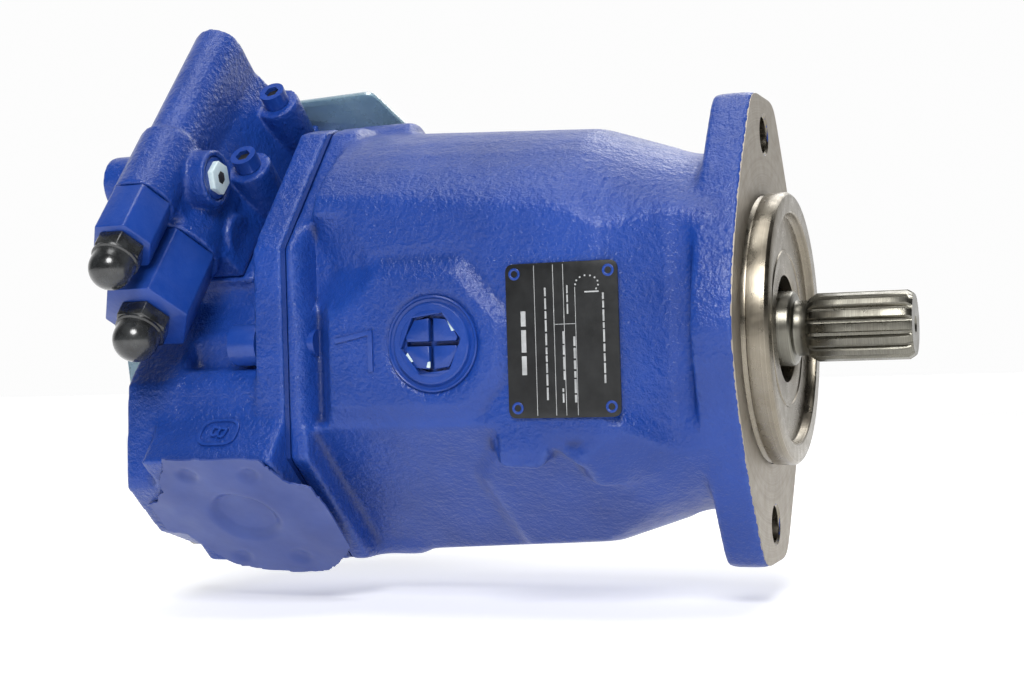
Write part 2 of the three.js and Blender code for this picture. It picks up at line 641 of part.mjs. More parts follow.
piece('control_valve_block', controlBlock(), PAINT, portFrame);
VALVE_SCREWS.forEach(([x, y], i) => {
  piece(`control_screw_${i + 1}`, controlScrew(), PAINT, portFrame, x, y, 0);
});
const crossPlug = join(
  solid(round('x', 8.3, -205.6, -200.5, [0, 0], 20)),
  solid(round('x', 6.2, -201, -197, [0, 0], 6)),
);
piece('control_port_plug', crossPlug, TEAL, portFrame, 0, 10, 87);
piece('flow_sleeve', springSleeve(22, 8, -1, -12 - GAP, -34, FLOW_SPOOL_Z), PAINT, portFrame);
piece('pressure_sleeve', springSleeve(32, 12, -1, -12 - GAP, -44, PRESSURE_SPOOL_Z), PAINT, portFrame);
piece('flow_adjuster', adjuster(-34, 17, 8.2), BLACK, portFrame, VALVE_X, 0, FLOW_SPOOL_Z);
piece('pressure_adjuster', adjuster(-44, 19, 8.5), BLACK, portFrame, VALVE_X, 0, PRESSURE_SPOOL_Z);
piece('flow_spool', spool(5, 6, 60), BRIGHT, portFrame, VALVE_X, 0, FLOW_SPOOL_Z);
piece('pressure_spool', spool(6, 6, 60), BRIGHT, portFrame, VALVE_X, 0, PRESSURE_SPOOL_Z);

// ---- plugs, plate and transport covers ----
function drainPlug(side) {
  const face = DRAIN.face - 1.2 + GAP;
  const head = solid(round('y', DRAIN.radius - 0.7, face, face + 2.2, [0, 0], 32));
  const disc = solid(round('y', 14.8, face + 2, face + 3.2, [0, 0], 24));
  const stem = solid(round('y', DRAIN.bore - 0.5, 52, face + 1, [0, 0], 16));
  const hex = solid(round('y', 9.2, face + 3, face + 4, [0, 0], 6));
  const plug = cut(
    join(head, disc, stem, hex),
    solid(box(-8, 8, face + 2, face + 6, -1, 1)),
    solid(box(-1, 1, face + 2, face + 6, -8, 8)),
  );
  return side > 0 ? plug : plug.rotate([0, 0, 180]);
}
piece('drain_port_plug', drainPlug(-1), PAINT, root, DRAIN.x, 0, DRAIN.z);
piece('second_drain_plug', drainPlug(1), PAINT, root, DRAIN.x, 0, DRAIN.z);

const plateFace = SIDE_FLAT + GAP;
piece('name_plate', solid(box(
  PLATE.x - PLATE.width / 2, PLATE.x + PLATE.width / 2, -plateFace - PLATE.thickness, -plateFace,
  PLATE.z - PLATE.height / 2, PLATE.z + PLATE.height / 2,
)), PLATE_BLACK);

const pressureCover = [
  [-212, 36.6], [-172, 35.5], [-166, 22], [-157, 19], [-156, -20], [-168, -33], [-173, -36.5],
  [-186, -36.5], [-210, -34], [-218, -25], [-225, -12], [-232.5, -10], [-232.5, 8], [-227, 10],
  [-222, 16],
];
const pressureCoverFace = -PORT_FACE - GAP;
const pressureSheet = solid(prism('y', pressureCover, pressureCoverFace - 1.2, pressureCoverFace));
piece('pressure_port_cover', pressureSheet, PAINT, portFrame);
const suctionCoverFace = PORT_FACE + GAP;
const suctionSheet = solid(box(-233, -156, suctionCoverFace, suctionCoverFace + 2, -58, 60));
piece('suction_port_cover', suctionSheet, TEAL, portFrame);
const coverOutline = flattenedCircle(52, [[90, 45.5]], 32);
const coverHollow = flattenedCircle(49.5, [[90, 43]], 32);
piece('through_drive_cover', cut(
  solid(prism('x', coverOutline, REAR_X - GAP - 9, REAR_X - GAP)),
  solid(prism('x', coverHollow, REAR_X - GAP - 20, REAR_X - GAP - 2.5)),
), TEAL, portFrame);

export default root;
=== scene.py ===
"""Looks for the axial piston pump: painted castings, bare steel, name plate, plugs and transport covers.

Metres, in the row frame: the shaft lies on X with its drive end at +X, and the flange bolts lie on Z.
The port frame (x, a, m) is the row frame turned about X: a runs from the pressure port to the suction port.
"""
import json
import math
import random

import bmesh
import bpy
import numpy as np
from mathutils import Matrix, Vector


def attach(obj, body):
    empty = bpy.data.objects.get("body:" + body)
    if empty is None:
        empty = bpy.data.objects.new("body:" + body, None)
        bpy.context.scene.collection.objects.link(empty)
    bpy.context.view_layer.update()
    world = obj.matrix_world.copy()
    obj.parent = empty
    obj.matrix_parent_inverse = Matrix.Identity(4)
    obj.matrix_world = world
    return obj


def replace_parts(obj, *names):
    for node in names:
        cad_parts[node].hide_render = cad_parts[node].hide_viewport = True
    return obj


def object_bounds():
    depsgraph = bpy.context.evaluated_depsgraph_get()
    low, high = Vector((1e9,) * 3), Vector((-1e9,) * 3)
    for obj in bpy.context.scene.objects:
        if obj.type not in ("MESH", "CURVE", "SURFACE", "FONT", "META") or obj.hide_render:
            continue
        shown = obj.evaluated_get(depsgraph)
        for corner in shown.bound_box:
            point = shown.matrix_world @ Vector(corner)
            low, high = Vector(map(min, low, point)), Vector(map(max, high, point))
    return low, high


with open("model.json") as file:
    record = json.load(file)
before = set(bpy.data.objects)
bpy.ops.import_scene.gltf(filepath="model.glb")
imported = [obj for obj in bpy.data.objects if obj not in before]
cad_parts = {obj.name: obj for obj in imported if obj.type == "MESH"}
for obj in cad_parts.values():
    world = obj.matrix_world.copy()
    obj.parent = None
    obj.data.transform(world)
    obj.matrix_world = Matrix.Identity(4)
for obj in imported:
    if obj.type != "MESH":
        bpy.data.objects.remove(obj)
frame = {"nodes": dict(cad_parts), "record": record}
cad_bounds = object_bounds()
NODES = frame["nodes"]
MM = 0.001
PORT_ANGLE = math.radians(49)
ACROSS = Vector((0, math.cos(PORT_ANGLE), math.sin(PORT_ANGLE)))      # a, towards the suction port
VALVE_UP = Vector((0, -math.sin(PORT_ANGLE), math.cos(PORT_ANGLE)))   # m, towards the control valve

# Places that several pieces share, in millimetres.
DRAIN = Vector((-108.7, -67.5, -2.0))
PAD_FACE = 67.5                      # distance of the drain pads' faces from the x-z plane
FLANGE_BOLTS = (73, -73)             # z of the two bolt holes
PORT_X = -193                        # x of both oil ports
SLEEVE_X = -220                      # x of both spring sleeves
FLOW_M, PRESSURE_M = 96, 68          # m of the flow sleeve and the pressure sleeve
CONTROL_PORT = (10, 87)              # a and m of the plugged port in the control valve
CONTROL_SCREWS = [(-199, 68), (-199, 30), (-234, 68), (-234, 30)]     # x and a
SHAFT_TIP = 53.5

# ---------------------------------------------------------------- node materials


class Shader:
    """A material's node tree, with one short method per node."""

    def __init__(self, name):
        self.material = bpy.data.materials.new(name)
        self.material.use_nodes = True
        self.tree = self.material.node_tree
        self.tree.nodes.clear()
        output = self.tree.nodes.new("ShaderNodeOutputMaterial")
        self.surface = self.tree.nodes.new("ShaderNodeBsdfPrincipled")
        self.tree.links.new(self.surface.outputs[0], output.inputs[0])
        self.place = self.tree.nodes.new("ShaderNodeTexCoord").outputs["Object"]

    def add(self, kind, inputs=None, **settings):
        node = self.tree.nodes.new(kind)
        for key, value in settings.items():
            setattr(node, key, value)
        for key, value in (inputs or {}).items():
            self.put(node.inputs[key], value)
        return node

    def put(self, socket, value):
        if isinstance(value, bpy.types.NodeSocket):
            self.tree.links.new(value, socket)
        else:
            socket.default_value = value

    def noise(self, size_mm, detail=3.0, roughness=0.55, place=None):
        """Noise whose features are about size_mm across."""
        node = self.add("ShaderNodeTexNoise", {"Vector": place or self.place, "Scale": 1 / (size_mm * MM),
                                               "Detail": detail, "Roughness": roughness})
        return node.outputs["Fac"]

    def ramp(self, factor, *stops):
        node = self.add("ShaderNodeValToRGB", {"Fac": factor})
        elements = node.color_ramp.elements
        while len(elements) < len(stops):
            elements.new(0.5)
        for element, (position, colour) in zip(elements, stops):
            element.position = position
            element.color = colour if isinstance(colour, tuple) else (colour, colour, colour, 1)
        return node.outputs["Color"]

    def maths(self, operation, a, b):
        return self.add("ShaderNodeMath", {0: a, 1: b}, operation=operation).outputs[0]

    def blend(self, factor, a, b):
        return self.add("ShaderNodeMix", {"Factor": factor, 6: a, 7: b}, data_type="RGBA").outputs[2]

    def attribute(self, name):
        return self.add("ShaderNodeAttribute", attribute_name=name).outputs["Fac"]

    def bump(self, height, distance_mm, strength=1.0, after=None):
        node = self.add("ShaderNodeBump", {"Height": height, "Distance": distance_mm * MM, "Strength": strength})
        if after is not None:
            self.put(node.inputs["Normal"], after)
        return node.outputs[0]

    def finish(self, colour, roughness, normal=None, **sockets):
        self.put(self.surface.inputs["Base Color"], colour)
        self.put(self.surface.inputs["Roughness"], roughness)
        if normal is not None:
            self.put(self.surface.inputs["Normal"], normal)
        for key, value in sockets.items():
            self.put(self.surface.inputs[key.replace("_", " ")], value)
        return self.material


def rgb(red, green, blue):
    """A colour given as 0 to 255 on a screen, as linear light."""
    linear = (((c / 255 + 0.055) / 1.055) ** 2.4 if c > 10 else c / 255 / 12.92 for c in (red, green, blue))
    return tuple(linear) + (1.0,)


def paint_material(name, cast_depth, peel_depth=0.05):
    """Glossy blue enamel with painted light: lighter blue speckles as painted sparkle, lighter blue on edges as
    a painted edge highlight, and darker blue in creases as painted shade. The point attribute "edge" is 1 on
    convex edges, and "hollow" is 1 in creases.
    """
    s = Shader(name)
    cloud = s.noise(38, 2)
    colour = s.ramp(cloud, (0.3, rgb(17, 54, 132)), (0.7, rgb(23, 63, 148)))
    # Lighter blue speckles: painted sparkle highlights.
    painted_sparkle = s.ramp(s.noise(2.2, 4, 0.7), (0.55, 0.0), (0.8, 1.0))
    colour = s.blend(s.maths("MULTIPLY", painted_sparkle, 0.14), colour, rgb(60, 92, 168))
    edge = s.attribute("edge")
    # A lighter blue on convex edges: a painted edge highlight.
    painted_edge_glint = s.maths("MULTIPLY", edge, s.ramp(s.noise(3.0, 5, 0.7), (0.4, 0.0), (0.7, 1.0)))
    colour = s.blend(s.maths("MULTIPLY", painted_edge_glint, 0.3), colour, rgb(72, 104, 180))
    # Darker blue in creases: painted shade.
    hollow = s.attribute("hollow")
    colour = s.blend(s.maths("MULTIPLY", hollow, 0.55), colour, rgb(8, 20, 62))
    chips = s.maths("MULTIPLY", edge, s.ramp(s.noise(5.0, 5, 0.75), (0.70, 0.0), (0.72, 1.0)))
    colour = s.blend(chips, colour, rgb(122, 118, 112))
    lumps = s.noise(2.1, 3, 0.6)
    fine = s.noise(0.7, 2, 0.5)
    waves = s.noise(7, 2, 0.5)
    normal = s.bump(waves, 0.8 * cast_depth, 1.0)
    normal = s.bump(lumps, cast_depth, 1.0, normal)
    normal = s.bump(fine, peel_depth, 1.0, normal)
    roughness = s.ramp(s.noise(6, 3), (0.3, 0.34), (0.75, 0.5))
    return s.finish(colour, roughness, normal, Specular_IOR_Level=0.3, Coat_Weight=0.35, Coat_Roughness=0.12,
                    Coat_Normal=normal)


def turned_steel(name, base, bright, ring_mm=0.35, roughness=0.32, stain=0.5):
    """Steel turned on a lathe about X: fine rings, faint stains and oil."""
    s = Shader(name)
    axes = s.add("ShaderNodeSeparateXYZ", {0: s.place})
    flat = s.add("ShaderNodeCombineXYZ", {"Y": axes.outputs[1], "Z": axes.outputs[2]})
    radius = s.add("ShaderNodeVectorMath", {0: flat.outputs[0]}, operation="LENGTH").outputs["Value"]
    along = s.add("ShaderNodeCombineXYZ", {"X": radius, "Y": axes.outputs[0]})
    rings = s.noise(ring_mm, 2, 0.7, place=along.outputs[0])
    broad = s.noise(9, 4, 0.6, place=along.outputs[0])
    colour = s.ramp(rings, (0.3, base), (0.75, bright))
    patches = s.ramp(s.noise(14, 5, 0.65), (0.42, 0.0), (0.7, 1.0))
    colour = s.blend(s.maths("MULTIPLY", patches, 0.3 * stain), colour, rgb(96, 84, 66))
    colour = s.blend(s.maths("MULTIPLY", broad, 0.2), colour, bright)
    rough = s.ramp(s.noise(5, 4), (0.3, roughness - 0.06), (0.75, roughness + 0.12))
    normal = s.bump(rings, 0.03, 0.6)
    return s.finish(colour, rough, normal, Metallic=1.0)


def plain(name, dark, light, roughness, metallic=0.0, grain_mm=1.5, depth=0.02, spread=12, **sockets):
    """Moulded, oiled or ground material with a mottled colour and a light grain."""
    s = Shader(name)
    colour = s.ramp(s.noise(spread, 4, 0.6), (0.35, dark), (0.7, light))
    rough = s.ramp(s.noise(spread / 3, 4), (0.3, roughness * 0.85), (0.75, min(1.0, roughness * 1.25)))
    scratches = s.noise(grain_mm, 3, 0.65)
    return s.finish(colour, rough, s.bump(scratches, depth, 0.8), Metallic=metallic, **sockets)


PAINT_CAST = paint_material("blue_paint_on_casting", 0.62, 0.17)
PAINT_SMOOTH = paint_material("blue_paint_on_steel", 0.12, 0.05)
BARE_FACE = turned_steel("machined_flange_face", rgb(150, 143, 133), rgb(178, 171, 160), 0.3, 0.5, 0.6)
BARE_PILOT = turned_steel("machined_pilot", rgb(112, 106, 94), rgb(152, 145, 132), 0.25, 0.28, 1.0)
SHAFT_STEEL = turned_steel("shaft_steel", rgb(96, 94, 86), rgb(132, 130, 121), 0.3, 0.3, 0.5)
INNER_STEEL = plain("machined_steel", rgb(120, 119, 115), rgb(150, 148, 143), 0.32, 1.0, 0.5)
GROUND_STEEL = plain("ground_steel", rgb(165, 164, 160), rgb(196, 195, 190), 0.16, 1.0, 0.4, 0.01)
BRONZE = plain("turned_bronze", rgb(150, 110, 58), rgb(184, 140, 82), 0.3, 1.0, 0.5)
BLACK_STEEL = plain("black_cap_nut", rgb(26, 27, 28), rgb(58, 60, 61), 0.24, 0.0, 1.1, 0.05, 7, Coat_Weight=0.5,
                    Coat_Roughness=0.12)
BLACK_HEAD = plain("black_screw_head", rgb(52, 50, 46), rgb(108, 105, 96), 0.34, 0.6, 0.9, 0.05, 6)
RUBBER = plain("seal_rubber", rgb(20, 20, 21), rgb(34, 34, 35), 0.7, 0.0, 0.8, 0.04)
TEAL = plain("teal_transport_plastic", rgb(118, 150, 168), rgb(150, 180, 194), 0.28, 0.0, 4.0, 0.05, 20,
             Transmission_Weight=0.35, IOR=1.45)
WHITE_PLASTIC = plain("white_plug_plastic", rgb(178, 200, 206), rgb(214, 226, 228), 0.35, 0.0, 2.0, 0.03, 8)
PLATE_BLACK = plain("black_plate", rgb(26, 27, 28), rgb(40, 41, 42), 0.38, 0.3, 0.8, 0.012, 9)
PLATE_WHITE = plain("plate_white_print", rgb(150, 152, 153), rgb(182, 184, 185), 0.5, 0.0, 0.9, 0.005, 5)
FILM = plain("painted_cover_film", rgb(46, 66, 132), rgb(62, 82, 148), 0.36, 0.0, 3.5, 0.06, 26)
# Near black, set into screw sockets, rivet hollows and the control plug: painted shade for their depth.
HOLE_SHADE = plain("painted_hole_shade", rgb(14, 16, 22), rgb(24, 26, 30), 0.6, 0.0, 1.0, 0.02)

# ---------------------------------------------------------------- mesh helpers


def add_object(name, mesh, material, body, smooth_angle=None):
    piece = bpy.data.objects.new(name, mesh)
    bpy.context.scene.collection.objects.link(piece)
    if material is not None:
        mesh.materials.append(material)
    if smooth_angle is not None:
        for polygon in mesh.polygons:
            polygon.use_smooth = True
        mesh.set_sharp_from_angle(angle=math.radians(smooth_angle))
    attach(piece, body)
    return piece


def applied(piece):
    """The piece's mesh with its modifiers applied, as a new mesh."""
    depsgraph = bpy.context.evaluated_depsgraph_get()
    depsgraph.update()
    return bpy.data.meshes.new_from_object(piece.evaluated_get(depsgraph))


def bevelled(mesh, width_mm, segments=3, angle=30):
    """A copy of the mesh with its sharp edges rounded."""
    holder = bpy.data.objects.new("bevel_holder", mesh)
    bpy.context.scene.collection.objects.link(holder)
    bevel = holder.modifiers.new("bevel", "BEVEL")
    bevel.width, bevel.segments = width_mm * MM, segments
    bevel.limit_method, bevel.angle_limit = "ANGLE", math.radians(angle)
    bevel.use_clamp_overlap = True
    result = applied(holder)
    bpy.data.objects.remove(holder)
    return result


def turned_mesh(profile, segments=96, frame_matrix=Matrix.Identity(4)):
    """A closed [x, radius] profile in millimetres turned about X, then placed by frame_matrix."""
    bm = bmesh.new()
    rings = []
    for x, radius in profile:
        if radius < 1e-6:
            rings.append([bm.verts.new((x * MM, 0, 0))])
            continue
        rings.append([bm.verts.new((x * MM, radius * MM * math.cos(t), radius * MM * math.sin(t)))
                      for t in (2 * math.pi * k / segments for k in range(segments))])
    for one, two in zip(rings, rings[1:]):
        for k in range(segments):
            a, b = one[k % len(one)], one[(k + 1) % len(one)]
            c, d = two[(k + 1) % len(two)], two[k % len(two)]
            corners = [v for i, v in enumerate((a, b, c, d)) if v not in (a, b, c, d)[:i]]
            if len(corners) > 2:
                bm.faces.new(corners)
    bmesh.ops.recalc_face_normals(bm, faces=bm.faces)
    mesh = bpy.data.meshes.new("turned")
    bm.to_mesh(mesh)
    bm.free()
    mesh.transform(frame_matrix)
    return mesh


def prism_mesh(outline, low, high, frame_matrix=Matrix.Identity(4), holes=()):
    """An outline of (u, v) millimetres swept from low to high along the frame's z, with holes of any shape."""
    curve = bpy.data.curves.new("outline", "CURVE")
    curve.dimensions, curve.fill_mode = "2D", "BOTH"
    for points in (outline, *holes):
        spline = curve.splines.new("POLY")
        spline.points.add(len(points) - 1)
        for point, (u, v) in zip(spline.points, points):
            point.co = (u * MM, v * MM, 0, 1)
        spline.use_cyclic_u = True
    curve.extrude = (high - low) / 2 * MM
    holder = bpy.data.objects.new("outline", curve)
    bpy.context.scene.collection.objects.link(holder)
    mesh = applied(holder)
    bpy.data.objects.remove(holder)
    bm = bmesh.new()
    bm.from_mesh(mesh)
    bmesh.ops.remove_doubles(bm, verts=bm.verts, dist=1e-6)
    bmesh.ops.recalc_face_normals(bm, faces=bm.faces)
    bm.to_mesh(mesh)
    bm.free()
    mesh.transform(frame_matrix @ Matrix.Translation((0, 0, (high + low) / 2 * MM)))
    return mesh


def joined(*meshes):
    bm = bmesh.new()
    for mesh in meshes:
        bm.from_mesh(mesh)
    result = bpy.data.meshes.new("joined")
    bm.to_mesh(result)
    bm.free()
    return result


def circle(radius, centre=(0, 0), segments=48, start=0.0):
    return [(centre[0] + radius * math.cos(start + 2 * math.pi * k / segments),
             centre[1] + radius * math.sin(start + 2 * math.pi * k / segments)) for k in range(segments)]


def basis(x_axis, y_axis, z_axis, origin=(0, 0, 0)):
    """A frame whose local x, y and z point along the given directions; origin in millimetres."""
    matrix = Matrix((x_axis, y_axis, z_axis)).transposed().to_4x4()
    matrix.translation = Vector(origin) * MM
    return matrix


X, Y, Z = Vector((1, 0, 0)), Vector((0, 1, 0)), Vector((0, 0, 1))


def in_ports(x, a, m):
    """A port frame place in millimetres, as a row frame vector in millimetres."""
    return Vector((x, 0, 0)) + ACROSS * a + VALVE_UP * m


# ---------------------------------------------------------------- castings


def smoothstep(low, high, value):
    t = np.clip((value - low) / (high - low), 0, 1)
    return t * t * (3 - 2 * t)


def laplacian(co, i, j, degree):
    mean = np.zeros_like(co)
    for k in range(3):
        mean[:, k] = np.bincount(i, co[j, k], len(co)) + np.bincount(j, co[i, k], len(co))
    return mean / degree[:, None] - co


def casting(name, node, extras, voxel_mm, rounds, softness, hidden, sculpt=None):
    """One soft-edged casting made from a CAD node and extra closed shapes: voxel remesh, then masked smoothing.

    softness(points in mm) gives 1 on as-cast skin and less on machined faces; hidden(points, normals) marks
    the faces that no one can see, which are dropped. sculpt(points) moves points before the smoothing.
    """
    source = joined(NODES[node].data, *extras)
    holder = bpy.data.objects.new("casting_holder", source)
    bpy.context.scene.collection.objects.link(holder)
    remesh = holder.modifiers.new("voxels", "REMESH")
    remesh.mode, remesh.voxel_size = "VOXEL", voxel_mm * MM
    mesh = applied(holder)
    bpy.data.objects.remove(holder)

    co = np.empty(len(mesh.vertices) * 3)
    mesh.vertices.foreach_get("co", co)
    co = co.reshape(-1, 3) * 1000
    pairs = np.empty(len(mesh.edges) * 2, dtype=np.int64)
    mesh.edges.foreach_get("vertices", pairs)
    i, j = pairs.reshape(-1, 2).T
    degree = np.maximum(np.bincount(i, minlength=len(co)) + np.bincount(j, minlength=len(co)), 1)
    soft = softness(co)
    if sculpt:
        sculpt(co)
    for _ in range(2):
        co += 0.5 * laplacian(co, i, j, degree)
    for _ in range(rounds):
        co += (0.55 * soft)[:, None] * laplacian(co, i, j, degree)
    mesh.vertices.foreach_set("co", (co / 1000).ravel())
    mesh.update()

    normals = np.empty(len(co) * 3)
    mesh.vertices.foreach_get("normal", normals)
    normals = normals.reshape(-1, 3)
    bend = -np.einsum("ij,ij->i", laplacian(co, i, j, degree), normals)
    for _ in range(2):
        bend = 0.5 * bend + 0.5 * (np.bincount(i, bend[j], len(co)) + np.bincount(j, bend[i], len(co))) / degree
    # "edge" brings the paint's chips and its painted edge highlight; "hollow" brings its painted shade in
    # creases.
    for label, values in (("edge", smoothstep(0.02, 0.11, bend)), ("hollow", smoothstep(0.02, 0.12, -bend))):
        layer = mesh.attributes.new(label, "FLOAT", "POINT")
        layer.data.foreach_set("value", values.astype(np.float32))

    bm = bmesh.new()
    bm.from_mesh(mesh)
    bm.faces.ensure_lookup_table()
    centres = np.array([f.calc_center_median() for f in bm.faces]) * 1000
    face_normals = np.array([f.normal for f in bm.faces])
    drop = np.nonzero(hidden(centres, face_normals))[0]
    bmesh.ops.delete(bm, geom=[bm.faces[k] for k in drop], context="FACES")
    bm.to_mesh(mesh)
    bm.free()
    for polygon in mesh.polygons:
        polygon.use_smooth = True
    piece = add_object(name, mesh, PAINT_CAST, "casing")
    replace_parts(piece, node)


def radius_of(points):
    return np.hypot(points[:, 1], points[:, 2])


def ports_of(points):
    """Columns a and m of points in the port frame."""
    return points[:, 1:] @ np.array([[ACROSS.y, VALVE_UP.y], [ACROSS.z, VALVE_UP.z]])


def letter_l():
    """A thin raised letter L beside each drain port. The far one is turned over about the drains' height."""
    stroke = [(-132.2, 3.8), (-132.2, -11.6), (-134.1, -11.6), (-134.1, 1.8), (-147.2, -0.9), (-147.6, 0.9)]
    for side in (-1, 1):
        mesh = bevelled(prism_mesh(stroke, -0.6, 0.8, basis(X, Z, -Y)), 0.25, 2)
        mesh.transform(Matrix.Translation((0, -PAD_FACE * MM, 0)))
        if side > 0:
            mesh.transform(Matrix.Rotation(math.pi, 4, "X") @ Matrix.Translation((0, 0, -2 * DRAIN.z * MM)))
        edge_attributes(mesh, 0.6)
        add_object(f"letter_l_{side + 2}", mesh, PAINT_SMOOTH, "casing", 40)


def distance_to_outline(u, v, outline):
    """Distance from each (u, v) to a closed outline, negative inside it."""
    nearest = np.full(len(u), 1e9)
    inside = np.zeros(len(u), bool)
    for (u0, v0), (u1, v1) in zip(outline, outline[1:] + outline[:1]):
        t = np.clip(((u - u0) * (u1 - u0) + (v - v0) * (v1 - v0)) / ((u1 - u0) ** 2 + (v1 - v0) ** 2), 0, 1)
        nearest = np.minimum(nearest, np.hypot(u - u0 - t * (u1 - u0), v - v0 - t * (v1 - v0)))
        if v0 != v1:
            inside ^= ((v0 > v) != (v1 > v)) & (u < (u1 - u0) * (v - v0) / (v1 - v0) + u0)
    return np.where(inside, -nearest, nearest)


# Outlines on the housing's sides as (x, z): the raised drain pad, the notch in front of the rim, and its floor.
PAD = [(-147, -24.5), (-96.7, -24.5), (-84.7, -10), (-83.7, 4), (-99.7, 23), (-128, 23), (-136, 23), (-147, 14)]
NOTCH = [(-158, 47), (-142, 47), (-131.1, 26.3), (-142.3, 14.2), (-150, 8), (-158, 8)]
NOTCH_FLOOR = [(-158, 45.6), (-157.5, 45.6), (-146.9, 26.6), (-156, 14.6), (-158, 14.6)]

# Outlines on the housing's lower flank as (x, m).
LEDGE = [(-63.1, 24.9), (-53.0, 12.5), (-52.6, 4.5), (-43.0, 2.0), (-41.0, 11.0), (-30.8, 1.7), (-20, 0),
         (-20, 45), (-66.5, 45), (-66.5, 24.9)]
TAB = [(-86.5, 16.5), (-69.3, 15.6), (-66.5, 25), (-66.5, 45), (-86.5, 45)]
HOLLOW = [(-86.5, 32), (-86.5, 20), (-100.5, 0), (-97, -32), (-93, -50), (-150, -50), (-150, 45), (-86.5, 45)]


def flank_sculpt(co):
    """The flank below the name plate: a ledge with a square step, a tab, and a hollow towards the rear."""
    x = co[:, 0]
    a, m = ports_of(co).T
    barrel = np.sqrt(np.maximum(np.interp(x, [-140, -100, -60, -24], [83.5, 81.5, 79.5, 67.5]) ** 2 - m ** 2, 1))
    above = np.clip(1 - distance_to_outline(x, m, LEDGE) / 5, 0, 1)
    above = np.maximum(above, np.clip(1 - distance_to_outline(x, m, TAB) / 2, 0, 1))
    hollow = np.clip(0.5 - distance_to_outline(x, m, HOLLOW) / 4, 0, 1)
    level = 70 + (np.maximum(barrel, 70) - 70) * above - 3.5 * hollow
    level = np.minimum(level, barrel)
    place = (a < -62) & (a > -82) & (x > -104) & (x < -24) & (np.abs(m) < 44)
    place &= radius_of(co) > 66
    new_y = -level * ACROSS.y + m * VALVE_UP.y
    new_z = -level * ACROSS.z + m * VALVE_UP.z
    place &= (new_y > -65) & (new_z < -31)
    co[place, 1], co[place, 2] = new_y[place], new_z[place]


def housing_sculpt(co):
    """The sloping shoulder round each drain pad, and the sloping sides of the notch in front of the rear rim."""
    side = np.sign(co[:, 1])
    depth = np.abs(co[:, 1])
    x, z = co[:, 0], co[:, 2]
    shoulder = distance_to_outline(x, z, PAD)
    raised = PAD_FACE - 3.6 * np.clip(shoulder / 5.5, 0, 1) + 1.1 * smoothstep(5.5, 11, shoulder)
    near_face = (depth > 63.6) & (depth < 67.6) & (shoulder < 11) & (z > -31.5) & (x > -150)
    near_face &= np.hypot(x - DRAIN.x, z - DRAIN.z) > 19
    depth = np.where(near_face, raised, depth)
    outer = -distance_to_outline(x, z, NOTCH)
    inner = distance_to_outline(x, z, NOTCH_FLOOR)
    share = np.clip(outer / np.maximum(outer + np.maximum(inner, 0), 1e-6), 0, 1)
    floor = 65.2 - 8.0 * share
    in_notch = (outer > 0) & (depth > 56) & (x > -157.4)
    depth = np.where(in_notch, np.minimum(depth, floor), depth)
    filled = in_notch & (depth > 56.5) & (inner > 0) & (depth < floor)
    depth = np.where(filled, floor, depth)
    co[:, 1] = side * depth
    near_rim = smoothstep(-167.5, -160, x) * (1 - smoothstep(-146, -136, x)) * (1 - smoothstep(40, 52, z))
    co[:, 0] = x - 3.6 * near_rim * (radius_of(co) > 58)
    groove = (co[:, 0] > -161.5) & (co[:, 0] < -150.5) & (depth > 54) & (z > -30) & (z < 13)
    wall = np.interp(co[:, 0], [-161.5, -158, -150.5], [68.3, 57.8, 66.6])
    co[groove, 1] = (side * wall)[groove]
    flank_sculpt(co)


def housing_piece():
    def softness(p):
        soft = np.ones(len(p))
        soft *= 1 - 0.95 * smoothstep(-2.2, -1.2, p[:, 0])
        soft *= 1 - 0.85 * smoothstep(-166, -166.6, p[:, 0])
        near_drain = np.hypot(p[:, 0] - DRAIN.x, p[:, 2] - DRAIN.z)
        soft *= 1 - 0.93 * (near_drain < 21) * (np.abs(p[:, 1]) > 62)
        for z in FLANGE_BOLTS:
            bolt = np.hypot(p[:, 1], p[:, 2] - z)
            soft *= 1 - 0.93 * (bolt < 9.5) * (p[:, 0] > -16.5) * (p[:, 0] < 1)
        return soft

    def hidden(centre, normal):
        r = radius_of(centre)
        inward = (centre[:, 1] * normal[:, 1] + centre[:, 2] * normal[:, 2]) < 0.2 * r
        inside = (centre[:, 0] < -33) & (centre[:, 0] > -167) & (r < 62) & inward
        front = centre[:, 0] > 0.35
        bore = (centre[:, 0] > -34) & (r < 34) & (centre[:, 0] < -10)
        return inside | front | bore | ((r < 56) & (centre[:, 0] > -11) & (normal[:, 0] > -0.5))

    screw_ends = [turned_mesh([(-167, 0), (-167, 5.5), (-158, 5.5), (-158, 0)], 24,
                              Matrix.Translation((0, y * MM, 0))) for y in (-60, 60)]
    casting("housing_casting", "housing", screw_ends, 1.22, 7, softness, hidden, housing_sculpt)
    letter_l()


